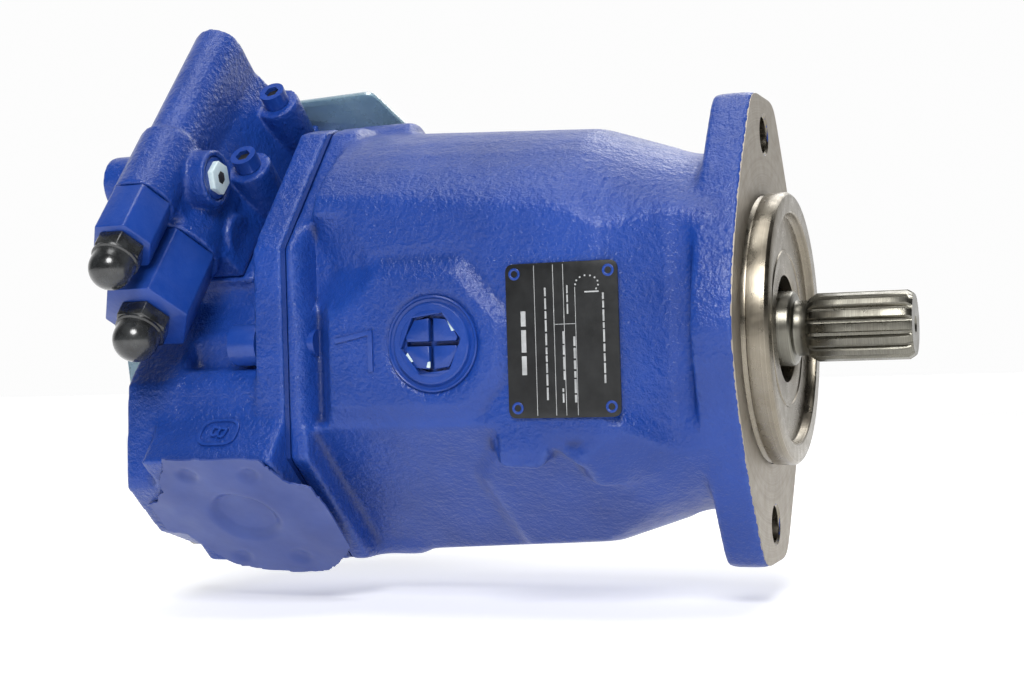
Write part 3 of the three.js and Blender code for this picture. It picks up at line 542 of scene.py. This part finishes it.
def flange_front():
    """The bare machined front: flange face, pilot, recess and the bore for the seal."""
    pilot = turned_mesh([
        (-0.3, 50.2), (0.2, 50.0), (0.9, 49.5), (1.6, 49.4), (2.2, 50.7), (8.3, 50.8), (8.7, 50.6), (9.5, 49.9),
        (9.7, 49.6), (9.7, 43.6), (9.3, 43.1), (8.6, 42.9), (6.8, 42.5), (6.5, 42.2), (6.5, 29.5), (6.9, 29.2),
        (6.9, 28.4), (6.5, 28.1), (6.5, 20.6), (6.1, 20.0), (-12, 20.0),
    ], 160)
    add_object("machined_pilot", pilot, BARE_PILOT, "casing", 35)
    quarter = [(64, 0), (62.2, 12), (57.5, 26), (50.5, 41), (42.5, 55), (33, 69), (24, 81.5), (19.5, 86),
               (13, 87.8)]
    outline = (quarter + [(-u, v) for u, v in reversed(quarter)]
               + [(-u, -v) for u, v in quarter[1:]] + [(u, -v) for u, v in reversed(quarter[1:])])
    outline = rounded_outline(outline, 5.0)
    outline = [(u * 0.992, v * 0.993) for u, v in outline]
    holes = [circle(50.3, (0, 0), 120)] + [circle(7.9, (0, z), 40) for z in FLANGE_BOLTS]
    plate = prism_mesh(outline, -0.5, 0.06, basis(Y, Z, X), holes)
    add_object("machined_flange_face", plate, BARE_FACE, "casing", 30)
    for k, z in enumerate(FLANGE_BOLTS):
        hole = turned_mesh([(0.08, 7.95), (-0.7, 6.9), (-15.5, 6.9), (-15.5, 7.6)], 48,
                           Matrix.Translation((0, 0, z * MM)))
        add_object(f"bolt_hole_{k + 1}", hole, BARE_PILOT, "casing", 35)


def rounded_outline(points, radius, steps=5):
    """The outline with each corner rounded by a short curve."""
    result = []
    count = len(points)
    for k in range(count):
        p, q, r = (Vector(points[(k + d) % count]) for d in (-1, 0, 1))
        reach_in = min(radius, (p - q).length * 0.45)
        reach_out = min(radius, (r - q).length * 0.45)
        start, end = q + (p - q).normalized() * reach_in, q + (r - q).normalized() * reach_out
        for step in range(steps + 1):
            t = step / steps
            result.append(tuple(start * (1 - t) ** 2 + q * 2 * t * (1 - t) + end * t * t))
    return result


def port_plate_piece():
    def softness(p):
        a, m = ports_of(p).T
        soft = 1 - 0.8 * smoothstep(-170.5, -169.5, p[:, 0])
        soft *= 1 - 0.9 * smoothstep(84.4, 85.2, np.abs(a))
        soft *= 1 - 0.8 * smoothstep(-236.6, -237.4, p[:, 0])
        return soft * (1 - 0.8 * ((m > 49) & (a > -12)))

    def hidden(centre, normal):
        r = radius_of(centre)
        return ((centre[:, 0] > -175) & (r < 50)) | ((r < 40) & (centre[:, 0] > -236) & (centre[:, 0] < -168))

    fill = [(-50, -25.5), (-50, -9), (-61.8, -9), (-66.2, -15), (-67, -25.5)]
    pocket_floor = prism_mesh(fill, -217.5, -180, basis(Y, Z, X))
    casting("port_plate_casting", "port_plate", [pocket_floor], 1.1, 6, softness, hidden)
    port_letter_b()


def port_letter_b():
    """A raised rounded frame with a letter B inside it, on the sloping face above the pressure port."""
    place = basis(X, ACROSS, VALVE_UP, in_ports(-194.4, -72.3, 33.1))
    frame_outer = rounded_outline([(-8.2, -6.2), (8.2, -6.2), (8.2, 6.2), (-8.2, 6.2)], 5.5, 7)
    frame_inner = rounded_outline([(-7.1, -5.1), (7.1, -5.1), (7.1, 5.1), (-7.1, 5.1)], 4.6, 7)
    ring = bevelled(prism_mesh(frame_outer, -2.5, 0.9, place, [frame_inner]), 0.3, 2)
    b_outer = [(-2.4, -3.3), (-2.4, 3.3), (1.0, 3.3), (2.3, 2.4), (2.3, 0.9), (1.4, 0), (2.3, -0.9),
               (2.3, -2.4), (1.0, -3.3)]
    b_holes = [[(-1.4, 0.5), (0.8, 0.5), (1.3, 1.0), (1.3, 2.0), (0.8, 2.4), (-1.4, 2.4)],
               [(-1.4, -2.4), (0.8, -2.4), (1.3, -2.0), (1.3, -1.0), (0.8, -0.5), (-1.4, -0.5)]]
    turn = Matrix.Rotation(math.radians(-100), 4, "Z")
    letter = bevelled(prism_mesh(b_outer, -2.5, 0.9, place @ turn, b_holes), 0.2, 2)
    for name, mesh in (("letter_frame", ring), ("letter_b", letter)):
        edge_attributes(mesh, 0.6)
        add_object(name, mesh, PAINT_SMOOTH, "casing", 40)


def valve_piece():
    def softness(p):
        a, m = ports_of(p).T
        soft = np.ones(len(p))
        soft *= 1 - 0.75 * smoothstep(-9.5, -11, a)
        for screw_x, screw_a in CONTROL_SCREWS[:2]:
            soft *= 1 - 0.7 * smoothstep(73.2, 73.8, m) * (np.hypot(p[:, 0] - screw_x, a - screw_a) < 9.6)
        port_a, port_m = CONTROL_PORT
        soft *= 1 - 0.8 * smoothstep(-202.5, -201, p[:, 0]) * (np.hypot(a - port_a, m - port_m) < 12)
        return soft

    def hidden(centre, normal):
        return np.zeros(len(centre), bool)

    casting("control_valve_casting", "control_valve_block", [], 0.75, 7, softness, hidden)


# ---------------------------------------------------------------- detailed small pieces


def hex_outline(across_flats, start=0.0):
    return circle(across_flats / math.sqrt(3), segments=6, start=start)


def edge_attributes(mesh, edge=0.0, hollow=0.0):
    # Sets the paint's "edge" and "hollow" over the whole piece: "edge" for chips and the painted edge highlight,
    # "hollow" for painted shade.
    for label, value in (("edge", edge), ("hollow", hollow)):
        layer = mesh.attributes.new(label, "FLOAT", "POINT")
        layer.data.foreach_set("value", np.full(len(mesh.vertices), value, np.float32))


def painted_hex_sleeves():
    """The spring sleeves: a painted hexagon, and a hollow neck that leaves the spool room to slide."""
    start = 12.5
    for name, node, across, neck, bore, end, height in (
            ("flow_sleeve_hexagon", "flow_sleeve", 22, 8, 6, 34, FLOW_M),
            ("pressure_sleeve_hexagon", "pressure_sleeve", 32, 12, 7, 44, PRESSURE_M)):
        place = basis(X, VALVE_UP, -ACROSS, in_ports(SLEEVE_X, 0, height))
        body = bevelled(prism_mesh(hex_outline(across), start, end, place), 0.7, 3)
        chamfer_cut(body, place, across, start, end)
        edge_attributes(body, 0.3)
        piece = add_object(name, body, PAINT_SMOOTH, "casing", 40)
        stem = turned_mesh([(1, bore), (1, neck), (13, neck), (13, bore), (1, bore)], 48,
                           basis(-ACROSS, X, VALVE_UP, in_ports(SLEEVE_X, 0, height)))
        edge_attributes(stem)
        add_object(name + "_neck", stem, PAINT_SMOOTH, "casing", 40)
        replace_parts(piece, node)


def chamfer_cut(mesh, place, across, low, high):
    """Pulls the hexagon's end corners in, as the 30 degree chamfer on a turned hexagon does."""
    inverse = place.inverted()
    for vertex in mesh.vertices:
        local = inverse @ vertex.co
        radius = math.hypot(local.x, local.y) / MM
        for end in (low, high):
            reach = abs(local.z / MM - end)
            if reach < 1.2 and radius > across * 0.52:
                scale = (across * 0.53 + (radius - across * 0.52) * 0.45) / radius
                local.x, local.y = local.x * scale, local.y * scale
        vertex.co = place @ local
    mesh.update()


def adjusters():
    """The black cap nuts over the adjusting screws: a hexagon nut with a domed cap."""
    for node, face, across, dome, height in (
            ("flow_adjuster", -34.3, 17, 8.2, FLOW_M),
            ("pressure_adjuster", -44.3, 19, 8.5, PRESSURE_M)):
        place = basis(X, VALVE_UP, -ACROSS, in_ports(SLEEVE_X, face, height))
        nut = bevelled(prism_mesh(hex_outline(across), 0, 6, place), 0.5, 3)
        chamfer_cut(nut, place, across, 0, 6)
        profile = [(5.4, 0), (5.4, dome + 0.2), (5.9, dome + 0.75), (6.9, dome + 0.75), (7.4, dome + 0.1)]
        profile += [(8.3 + 2.4 * t, dome) for t in (0, 0.5, 1)]
        for step in range(1, 15):
            angle = step * math.pi / 28
            profile.append((10.7 + dome * math.sin(angle), dome * math.cos(angle)))
        profile[-1] = (profile[-1][0], 0)
        cap = turned_mesh(profile, 56, basis(-ACROSS, X, VALVE_UP, in_ports(SLEEVE_X, face, height)))
        piece = add_object(node + "_cap_nut", joined(nut, cap), BLACK_STEEL, node, 38)
        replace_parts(piece, node)


def socket_screw(node, place, head_radius, head_height, hexagon, material, slot, shank):
    """A socket head cap screw whose head stands on the place's z = 0 plane; shank is its radius and length."""
    socket_depth = head_height * 0.3
    head = prism_mesh(circle(head_radius), 0, head_height, place, [hex_outline(hexagon)])
    head = bevelled(head, 0.45, 3, 40)
    # A dark floor raised high in the socket: painted shade in place of the socket's depth.
    floor = prism_mesh(hex_outline(hexagon * 1.02), 0.2, head_height - socket_depth, place)
    edge_attributes(head, 0.35)
    edge_attributes(floor)
    head_piece = add_object(node + "_head", head, material, "casing", 40)
    add_object(node + "_socket", floor, HOLE_SHADE, "casing", 40)
    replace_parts(head_piece, node)
    radius, length = shank
    bolt = turned_mesh([(0, 0), (0, radius), (-length, radius), (-length, 0)], 32,
                       place @ Matrix.Rotation(-math.pi / 2, 4, "Y"))
    edge_attributes(bolt)
    add_object(node + "_shank", bolt, material, "casing", 40)


def screws():
    """The four screws of the control valve, and the four long ones that hold the port plate to the housing."""
    for k, (x, a) in enumerate(CONTROL_SCREWS):
        place = basis(X, ACROSS, VALVE_UP, in_ports(x, a, 74.3)) @ Matrix.Rotation(0.3 + k, 4, "Z")
        socket_screw(f"control_screw_{k + 1}", place, 5.2, 6.0, 5.2, PAINT_SMOOTH, "blue_paint", (2.9, 30.3))
    # Angle about the shaft, radius and x of the seat, head radius and height, hexagon, finish, shank.
    rows = [(180, 60, -181.3, 8, 11.5, 8.2, PAINT_SMOOTH, "blue_paint", (5, 23.3)),
            (0, 60, -181.3, 8, 11.5, 8.2, PAINT_SMOOTH, "blue_paint", (5, 23.3)),
            (90, 63, -238.3, 8, 11.5, 8.2, BLACK_HEAD, "black_steel", (5, 88.3)),
            (-90, 74, -238.3, 9, 11.5, 10, BLACK_HEAD, "black_steel", (5.8, 92.3))]
    for k, (degrees, radius, seat, *screw) in enumerate(rows):
        t = math.radians(degrees)
        place = basis(Z, Y, -X, (seat, radius * math.cos(t), radius * math.sin(t)))
        socket_screw(f"housing_screw_{k + 1}", place, *screw)


def drain_plugs():
    """A painted plastic plug: a dished rim, a flat disc with a hexagon recess, and a cross of slots in it."""
    for side, node in ((-1, "drain_port_plug"), (1, "second_drain_plug")):
        out = Y * side
        place = basis(X * -side, Z, out, (DRAIN.x, side * 66.6, DRAIN.z))
        rim = turned_mesh([
            (-9, 0), (-9, 10.2), (0.02, 10.2), (0.02, 17.4), (1.3, 17.4), (1.7, 17.0), (1.5, 16.6), (0.9, 16.2),
            (0.7, 15.2), (1.0, 14.9), (2.2, 14.6), (2.6, 14.1), (2.6, 12.0), (-2.4, 11.6), (-2.4, 0),
        ], 96, basis(out, X, Z, place.translation / MM))
        edge_attributes(rim, 0.25)
        piece = add_object(node + "_rim", rim, PAINT_SMOOTH, "casing", 35)
        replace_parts(piece, node)
        collar = prism_mesh(circle(12.6, segments=72), -1.4, 2.5, place, [hex_outline(20.5, 0.12)])
        collar = bevelled(collar, 0.4, 3)
        edge_attributes(collar, 0.2)
        add_object(node + "_collar", collar, PAINT_SMOOTH, "casing", 40)
        for k, (u, v) in enumerate(((1, 1), (-1, 1), (-1, -1), (1, -1))):
            lobe = [(0.9 * u, 0.8 * v), (9.6 * u, 0.8 * v), (10.2 * u, 2.4 * v), (6.6 * u, 8.6 * v),
                    (0.9 * u, 9.2 * v)]
            lobe = bevelled(prism_mesh(lobe, -1.8, 1.7, place), 0.4, 2)
            edge_attributes(lobe, 0.15)
            add_object(f"{node}_lobe_{k + 1}", lobe, PAINT_SMOOTH, "casing", 40)
        for k, chip in enumerate(([(6.2, 8.6), (7.4, 8.8), (9.6, 4.6), (8.0, 4.2)],
                                  [(-9.4, -3.0), (-7.2, -6.2), (-9.0, -6.8), (-10.2, -4.0)],
                                  [(-2.2, -8.6), (-0.6, -8.8), (-0.6, -6.4), (-1.6, -6.6)])):
            chip = bevelled(prism_mesh(chip, 1.2, 1.95, place), 0.2, 2)
            add_object(f"{node}_bare_{k + 1}", chip, WHITE_PLASTIC, "casing", 40)


def control_plug():
    """The plug in the control valve's port: a painted round base and a pale hexagon, with a small dark hexagon
    on it as painted shade for its socket.
    """
    centre = in_ports(-205.6, *CONTROL_PORT)
    place = basis(-Y, Z, X, centre)
    bore = turned_mesh([(0, 0), (0, 8.3), (4.6, 8.3), (5.1, 7.8), (5.1, 0)], 48, basis(X, Y, Z, centre))
    edge_attributes(bore, 0.2)
    piece = add_object("control_plug_base", bore, PAINT_SMOOTH, "casing", 40)
    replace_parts(piece, "control_port_plug")
    # The second row is a thin dark hexagon: painted shade for the plug's socket.
    rows = ((4.6, 7.4, 11.4, WHITE_PLASTIC), (7.0, 7.5, 4.6, HOLE_SHADE))
    for k, (low, high, across, material) in enumerate(rows):
        turn = Matrix.Rotation(0.25, 4, "Z")
        hexagon = bevelled(prism_mesh(hex_outline(across), low, high, place @ turn), 0.4, 3)
        add_object(f"control_plug_hexagon_{k + 1}", hexagon, material, "casing", 40)


def name_plate():
    """A black plate with white rules, four rivets, an arrow, and plain bars in place of words."""
    cx, cz, half_w, half_h = -59.7, -2.2, 20.75, 27.3
    place = basis(X, Z, -Y, (cx, -65.3, cz))
    corners = [(-half_w, -half_h), (half_w, -half_h), (half_w, half_h), (-half_w, half_h)]
    outline = rounded_outline(corners, 3.2, 6)
    rivet_spots = [(sx * (half_w - 3.4), sz * (half_h - 3.6)) for sx in (-1, 1) for sz in (-1, 1)]
    plate = bevelled(prism_mesh(outline, 0, 0.8, place), 0.15, 2)
    piece = add_object("name_plate_sheet", plate, PLATE_BLACK, "casing", 40)
    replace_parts(piece, "name_plate")
    for k, spot in enumerate(rivet_spots):
        centre = place @ Vector((spot[0] * MM, spot[1] * MM, 0))
        rivet = turned_mesh([(0, 0), (0.7, 2.2), (1.0, 2.1), (1.15, 1.7), (1.0, 1.3), (0.3, 1.0), (0.2, 0)], 32,
                            basis(-Y, X, Z, centre / MM))
        edge_attributes(rivet)
        add_object(f"name_plate_rivet_{k + 1}", rivet, PAINT_SMOOTH, "casing", 50)
        # A dark cone in the rivet's hollow: painted shade.
        core = turned_mesh([(0.2, 0), (0.2, 1.1), (0.45, 0.9), (0.5, 0)], 24, basis(-Y, X, Z, centre / MM))
        add_object(f"name_plate_rivet_{k + 1}_core", core, HOLE_SHADE, "casing", 50)
    strips = []

    def strip(x0, x1, z0, z1):
        strips.append(prism_mesh([(x0, z0), (x1, z0), (x1, z1), (x0, z1)], 0.8, 0.84, place))

    for share in (0.26, 0.43, 0.52):
        x = -half_w + share * 2 * half_w
        strip(x - 0.11, x + 0.11, -half_h + 0.8, half_h - 0.8)
    strip(2 * half_w * 0.43 - half_w, 2 * half_w * 0.62 - half_w, 5.4, 5.6)
    strip(2 * half_w * 0.62 - half_w, 2 * half_w * 0.62 - half_w + 0.2, -half_h + 0.8, half_h - 9)
    rng = random.Random(4)
    for x, low, high, size in ((-14.4, -12.0, 12.0, 3.0), (-6.0, -21, 18.5, 1.1), (-0.2, -22, -17, 1.0),
                               (0.4, -14, 4, 1.1), (2.2, 9, 19, 0.9), (4.4, -22, 1, 1.3),
                               (15.3, -15.5, 16.5, 1.1)):
        z = low
        while z < high - 0.5 * size:
            length = min(size * rng.uniform(1.6, 4.2), high - z)
            strip(x - 0.3 * size, x + 0.3 * size, z, z + length)
            z += length + size * rng.uniform(0.4, 0.7)
    for t in np.linspace(-0.2, 1.0, 9):
        u, v = 9.5 + 4.2 * math.cos(math.pi * t), 19.2 + 3.0 * math.sin(math.pi * t)
        strip(u - 0.28, u + 0.28, v - 0.28, v + 0.28)
    strip(8.6, 13.8, 16.2, 16.7)
    add_object("name_plate_print", joined(*strips), PLATE_WHITE, "casing")


def pressure_cover():
    """A thin painted transport cover over the pressure port: torn outline, and dents at the holes under it."""
    outline = [(-212, 36.6), (-205, 36.1), (-198, 36.5), (-189, 36), (-180, 36.1), (-172, 35.5), (-169.5, 29),
               (-166, 22), (-161, 20.4), (-157, 19), (-155.6, 4), (-156, -20), (-161, -26), (-168, -33),
               (-173, -36.5), (-186, -36.9), (-198, -36), (-210, -34), (-214, -30), (-218, -25), (-221.5, -18), (-225, -12),
               (-229, -11), (-232.3, -10), (-232.4, 0), (-232.3, 8), (-227, 10), (-225, 13.5), (-221, 17),
               (-219.5, 24), (-215, 30)]
    rng = random.Random(11)
    ragged = []
    for (u, v), (s, t) in zip(outline, outline[1:] + outline[:1]):
        pieces = max(1, int(math.hypot(s - u, t - v) / 1.6))
        for k in range(pieces):
            f = k / pieces
            ragged.append((u + (s - u) * f + rng.uniform(-0.22, 0.22),
                           v + (t - v) * f + rng.uniform(-0.22, 0.22)))
    place = basis(X, VALVE_UP, -ACROSS, in_ports(0, -85.95, 0))
    bm = bmesh.new()
    grid = {}
    cells_u, cells_v = range(-234, -153), range(-39, 39)
    polygon = np.array(ragged)

    def inside(u, v):
        x0, y0 = polygon.T
        x1, y1 = np.roll(polygon, -1, axis=0).T
        cross = ((y0 > v) != (y1 > v)) & (u < (x1 - x0) * (v - y0) / (y1 - y0 + 1e-12) + x0)
        return bool(cross.sum() % 2)

    def snapped(u, v):
        """A grid point just outside the outline is drawn onto it."""
        distance = np.hypot(polygon[:, 0] - u, polygon[:, 1] - v)
        return tuple(polygon[distance.argmin()])

    def height(u, v):
        h = 0.0
        for du, dv in ((-13.1, -26.2), (13.1, -26.2), (-13.1, 26.2), (13.1, 26.2)):
            d = math.hypot(u - PORT_X - du, v - dv)
            h -= 1.3 * math.exp(-(d / 3.8) ** 4)
        d = math.hypot(u - PORT_X, v)
        h -= 2.4 * (1 - float(smoothstep(11.0, 15.5, d)))
        h += 0.25 * math.sin(u * 0.17 + v * 0.11) + 0.12 * math.sin(u * 0.41 - v * 0.23)
        return h

    for iu in cells_u:
        for iv in cells_v:
            if not inside(iu + 0.5, iv + 0.5):
                continue
            corners = []
            for du, dv in ((0, 0), (1, 0), (1, 1), (0, 1)):
                key = (iu + du, iv + dv)
                if key not in grid:
                    u, v = key if inside(*key) else snapped(*key)
                    grid[key] = bm.verts.new(place @ Vector((u * MM, v * MM, (height(u, v) + 0.9) * MM)))
                corners.append(grid[key])
            if len(set(corners)) == 4:
                bm.faces.new(corners)
    bmesh.ops.remove_doubles(bm, verts=bm.verts, dist=1e-5)
    bmesh.ops.recalc_face_normals(bm, faces=bm.faces)
    mesh = bpy.data.meshes.new("pressure_cover")
    bm.to_mesh(mesh)
    bm.free()
    holder = bpy.data.objects.new("cover_holder", mesh)
    bpy.context.scene.collection.objects.link(holder)
    solidify = holder.modifiers.new("thickness", "SOLIDIFY")
    solidify.thickness, solidify.offset = 0.7 * MM, 0
    mesh = applied(holder)
    bpy.data.objects.remove(holder)
    piece = add_object("pressure_port_film", mesh, FILM, "casing", 50)
    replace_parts(piece, "pressure_port_cover")


def plastic_covers():
    """The transport covers over the suction port and the through drive."""
    place = basis(X, VALVE_UP, ACROSS, in_ports(0, 85.9, 0))
    outline = rounded_outline([(-233, -58), (-156, -58), (-156, 36), (-167, 60), (-233, 57)], 4, 6)
    sheet = bevelled(prism_mesh(outline, 0, 2.0, place), 0.5, 2)
    piece = add_object("suction_cover_sheet", sheet, TEAL, "casing", 40)
    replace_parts(piece, "suction_port_cover")
    cover = bevelled(applied(NODES["through_drive_cover"]), 0.8, 3)
    cover.materials.clear()
    piece = add_object("through_drive_cap", cover, TEAL, "casing", 40)
    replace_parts(piece, "through_drive_cover")


def shaft_piece():
    """The splined end of the shaft in full detail, and the plain length behind it."""
    teeth, root, tip = 15, 11.1, 12.7
    outline = []
    for k in range(teeth):
        for fraction, radius in ((0.0, root), (0.12, root - 0.1), (0.24, root), (0.33, tip - 0.35), (0.38, tip),
                                 (0.63, tip + 0.02), (0.86, tip), (0.91, tip - 0.35)):
            t = (k + fraction) * 2 * math.pi / teeth
            outline.append((radius * math.cos(t), radius * math.sin(t)))
    bm = bmesh.new()
    rings = []
    for x in (15.2, 16.0, 18.2, 30, 42, 51.2, 53.0, SHAFT_TIP):
        limit = {15.2: 10.7, 16.0: 11.4, 53.0: 11.6, SHAFT_TIP: 11.2}.get(x, 99)
        ring = []
        for u, v in outline:
            r = math.hypot(u, v)
            keep = min(r, limit) / r
            ring.append(bm.verts.new((x * MM, u * keep * MM, v * keep * MM)))
        rings.append(ring)
    for one, two in zip(rings, rings[1:]):
        for k in range(len(outline)):
            n = (k + 1) % len(outline)
            bm.faces.new((one[k], one[n], two[n], two[k]))
    inner = [bm.verts.new((SHAFT_TIP * MM, 3.4 * v.co.y / math.hypot(v.co.y, v.co.z) * MM,
                           3.4 * v.co.z / math.hypot(v.co.y, v.co.z) * MM)) for v in rings[-1]]
    deep = [bm.verts.new(((SHAFT_TIP - 2.2) * MM, v.co.y * 0.55, v.co.z * 0.55)) for v in inner]
    bottom = [bm.verts.new(((SHAFT_TIP - 9) * MM, v.co.y, v.co.z)) for v in deep]
    for one, two in ((rings[-1], inner), (inner, deep), (deep, bottom)):
        for k in range(len(outline)):
            n = (k + 1) % len(outline)
            bm.faces.new((one[k], one[n], two[n], two[k]))
    bm.faces.new(bottom)
    bm.faces.new(list(reversed(rings[0])))
    bmesh.ops.recalc_face_normals(bm, faces=bm.faces)
    spline = bpy.data.meshes.new("spline")
    bm.to_mesh(spline)
    bm.free()
    core = turned_mesh([
        (-200, 0), (-200, 10.4), (-199.3, 11.2), (-187, 11.2), (-187, 12), (-164, 12), (-164, 12.6), (-94, 12.6),
        (-94, 13.8), (-36.2, 13.8), (-36.2, 17.5), (-33, 17.5), (-33, 15), (-12, 15), (-12, 14), (8.9, 14),
        (9.6, 13.6), (10.2, 12.8), (10.5, 11.6), (10.6, 10.5), (11.0, 10.25), (15.4, 10.25), (15.8, 10.5),
        (15.9, 0),
    ], 96)
    piece = add_object("splined_shaft", joined(spline, core), SHAFT_STEEL, "shaft", 32)
    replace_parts(piece, "drive_shaft")


def seal_piece():
    """The shaft seal's face: a metal case, a lip, and a garter groove."""
    seal = turned_mesh([(-9, 14.35), (-9, 19.7), (-2.0, 19.7), (-2.0, 18.4), (-3.0, 18.0), (-3.0, 16.4),
                        (-2.2, 15.9), (-2.0, 15.2), (-2.4, 14.5), (-4, 14.35), (-9, 14.35)], 72)
    piece = add_object("shaft_seal_ring", seal, RUBBER, "casing", 40)
    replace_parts(piece, "shaft_seal")


def gasket_piece():
    """The painted gasket, as thick as the joint it fills."""
    mesh = NODES["housing_gasket"].data.copy()
    middle = Vector((-0.1678, 0, 0))
    mesh.transform(Matrix.Translation(middle) @ Matrix.Diagonal((1.7, 0.998, 0.998, 1))
                   @ Matrix.Translation(-middle))
    mesh.materials.clear()
    # A hollow value of 0.8 darkens the whole gasket with the paint's painted shade, for the shade in the joint.
    edge_attributes(mesh, 0.0, 0.8)
    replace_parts(add_object("painted_gasket", mesh, PAINT_SMOOTH, "casing", 30), "housing_gasket")


def inner_materials():
    """The inner CAD nodes keep their shape and get their material."""
    slot_of = {s["node"]: s["material_slot"] for s in frame["record"]["subparts"]}
    by_slot = {"ground_steel": GROUND_STEEL, "machined_steel": INNER_STEEL, "bronze": BRONZE, "gasket": RUBBER,
               "shaft_steel": SHAFT_STEEL}
    for name, obj in NODES.items():
        material = by_slot.get(slot_of[name])
        if material is None:
            continue
        if not obj.material_slots:
            obj.data.materials.append(None)
        for material_slot in obj.material_slots:
            material_slot.material = material


# ---------------------------------------------------------------- stage


def stage():
    """The pale floor, the world's light, three soft lamps and the camera."""
    scene = bpy.context.scene
    floor = bpy.data.meshes.new("floor")
    floor.from_pydata([(-6, -6, 0), (6, -6, 0), (6, 6, 0), (-6, 6, 0)], [], [(0, 1, 2, 3)])
    floor.update()
    floor_object = bpy.data.objects.new("floor", floor)
    floor_object.location.z = cad_bounds[0][2] - 0.012
    scene.collection.objects.link(floor_object)
    s = Shader("pale_floor")
    tone = s.ramp(s.noise(900, 2), (0.3, (0.9, 0.9, 0.9, 1)), (0.7, (0.93, 0.93, 0.93, 1)))
    distance = s.add("ShaderNodeVectorMath", {0: s.place}, operation="LENGTH").outputs["Value"]
    glow = s.add("ShaderNodeMapRange", {"Value": distance, "From Min": 0.5, "From Max": 2.5,
                                        "To Min": 0.37, "To Max": 0.76})
    floor.materials.append(s.finish(tone, 0.9, Emission_Color=(1, 1, 1, 1), Emission_Strength=glow.outputs[0]))

    world = bpy.data.worlds.new("studio")
    scene.world = world
    world.use_nodes = True
    tree = world.node_tree
    direction = tree.nodes.new("ShaderNodeTexCoord").outputs["Generated"]
    towards = tree.nodes.new("ShaderNodeVectorMath")
    towards.operation = "DOT_PRODUCT"
    towards.inputs[1].default_value = (-0.35, 0.93, 0.1)
    ramp = tree.nodes.new("ShaderNodeMapRange")
    for socket, value in (("From Min", 0.25), ("From Max", 0.75), ("To Min", 0.05), ("To Max", 0.98)):
        ramp.inputs[socket].default_value = value
    tree.links.new(direction, towards.inputs[0])
    tree.links.new(towards.outputs["Value"], ramp.inputs["Value"])
    tree.links.new(ramp.outputs[0], tree.nodes["Background"].inputs["Strength"])
    tree.nodes["Background"].inputs["Color"].default_value = (1, 1, 1, 1)

    target = Vector((-0.1, 0, 0))
    for name, place, size, power in (("key", (0.2, -1.1, 0.85), 0.6, 17), ("top", (-0.15, -0.1, 1.25), 0.7, 6),
                                     ("rim", (0.1, 0.9, 0.9), 0.8, 5)):
        lamp = bpy.data.lights.new(name, "AREA")
        lamp.energy, lamp.shape, lamp.size = power, "DISK", size
        lamp_object = bpy.data.objects.new(name, lamp)
        lamp_object.location = place
        lamp_object.rotation_euler = (target - Vector(place)).to_track_quat("-Z", "Y").to_euler()
        scene.collection.objects.link(lamp_object)

    camera = bpy.data.cameras.new("camera")
    focal_length, image_width, sensor = 1656, 1024, 36      # the first two share a unit, the sensor is in mm
    camera.lens = focal_length / image_width * sensor
    camera.sensor_width = sensor
    camera.clip_start = 0.01
    holder = bpy.data.objects.new("camera", camera)
    azimuth, elevation, roll = math.radians(20.53), math.radians(-0.78), math.radians(-1.69)
    back = Vector((math.sin(azimuth) * math.cos(elevation), -math.cos(azimuth) * math.cos(elevation),
                   math.sin(elevation)))
    right = (-back).cross(Z).normalized()
    up = right.cross(-back)
    turned_right = right * math.cos(roll) + up * math.sin(roll)
    turned_up = up * math.cos(roll) - right * math.sin(roll)
    holder.matrix_world = basis(turned_right, turned_up, back, (127, -615, -10))
    scene.collection.objects.link(holder)
    scene.camera = holder
    scene.view_settings.view_transform = "Standard"


housing_piece()
flange_front()
port_plate_piece()
valve_piece()
painted_hex_sleeves()
adjusters()
screws()
drain_plugs()
control_plug()
name_plate()
pressure_cover()
plastic_covers()
shaft_piece()
seal_piece()
gasket_piece()
inner_materials()
stage()
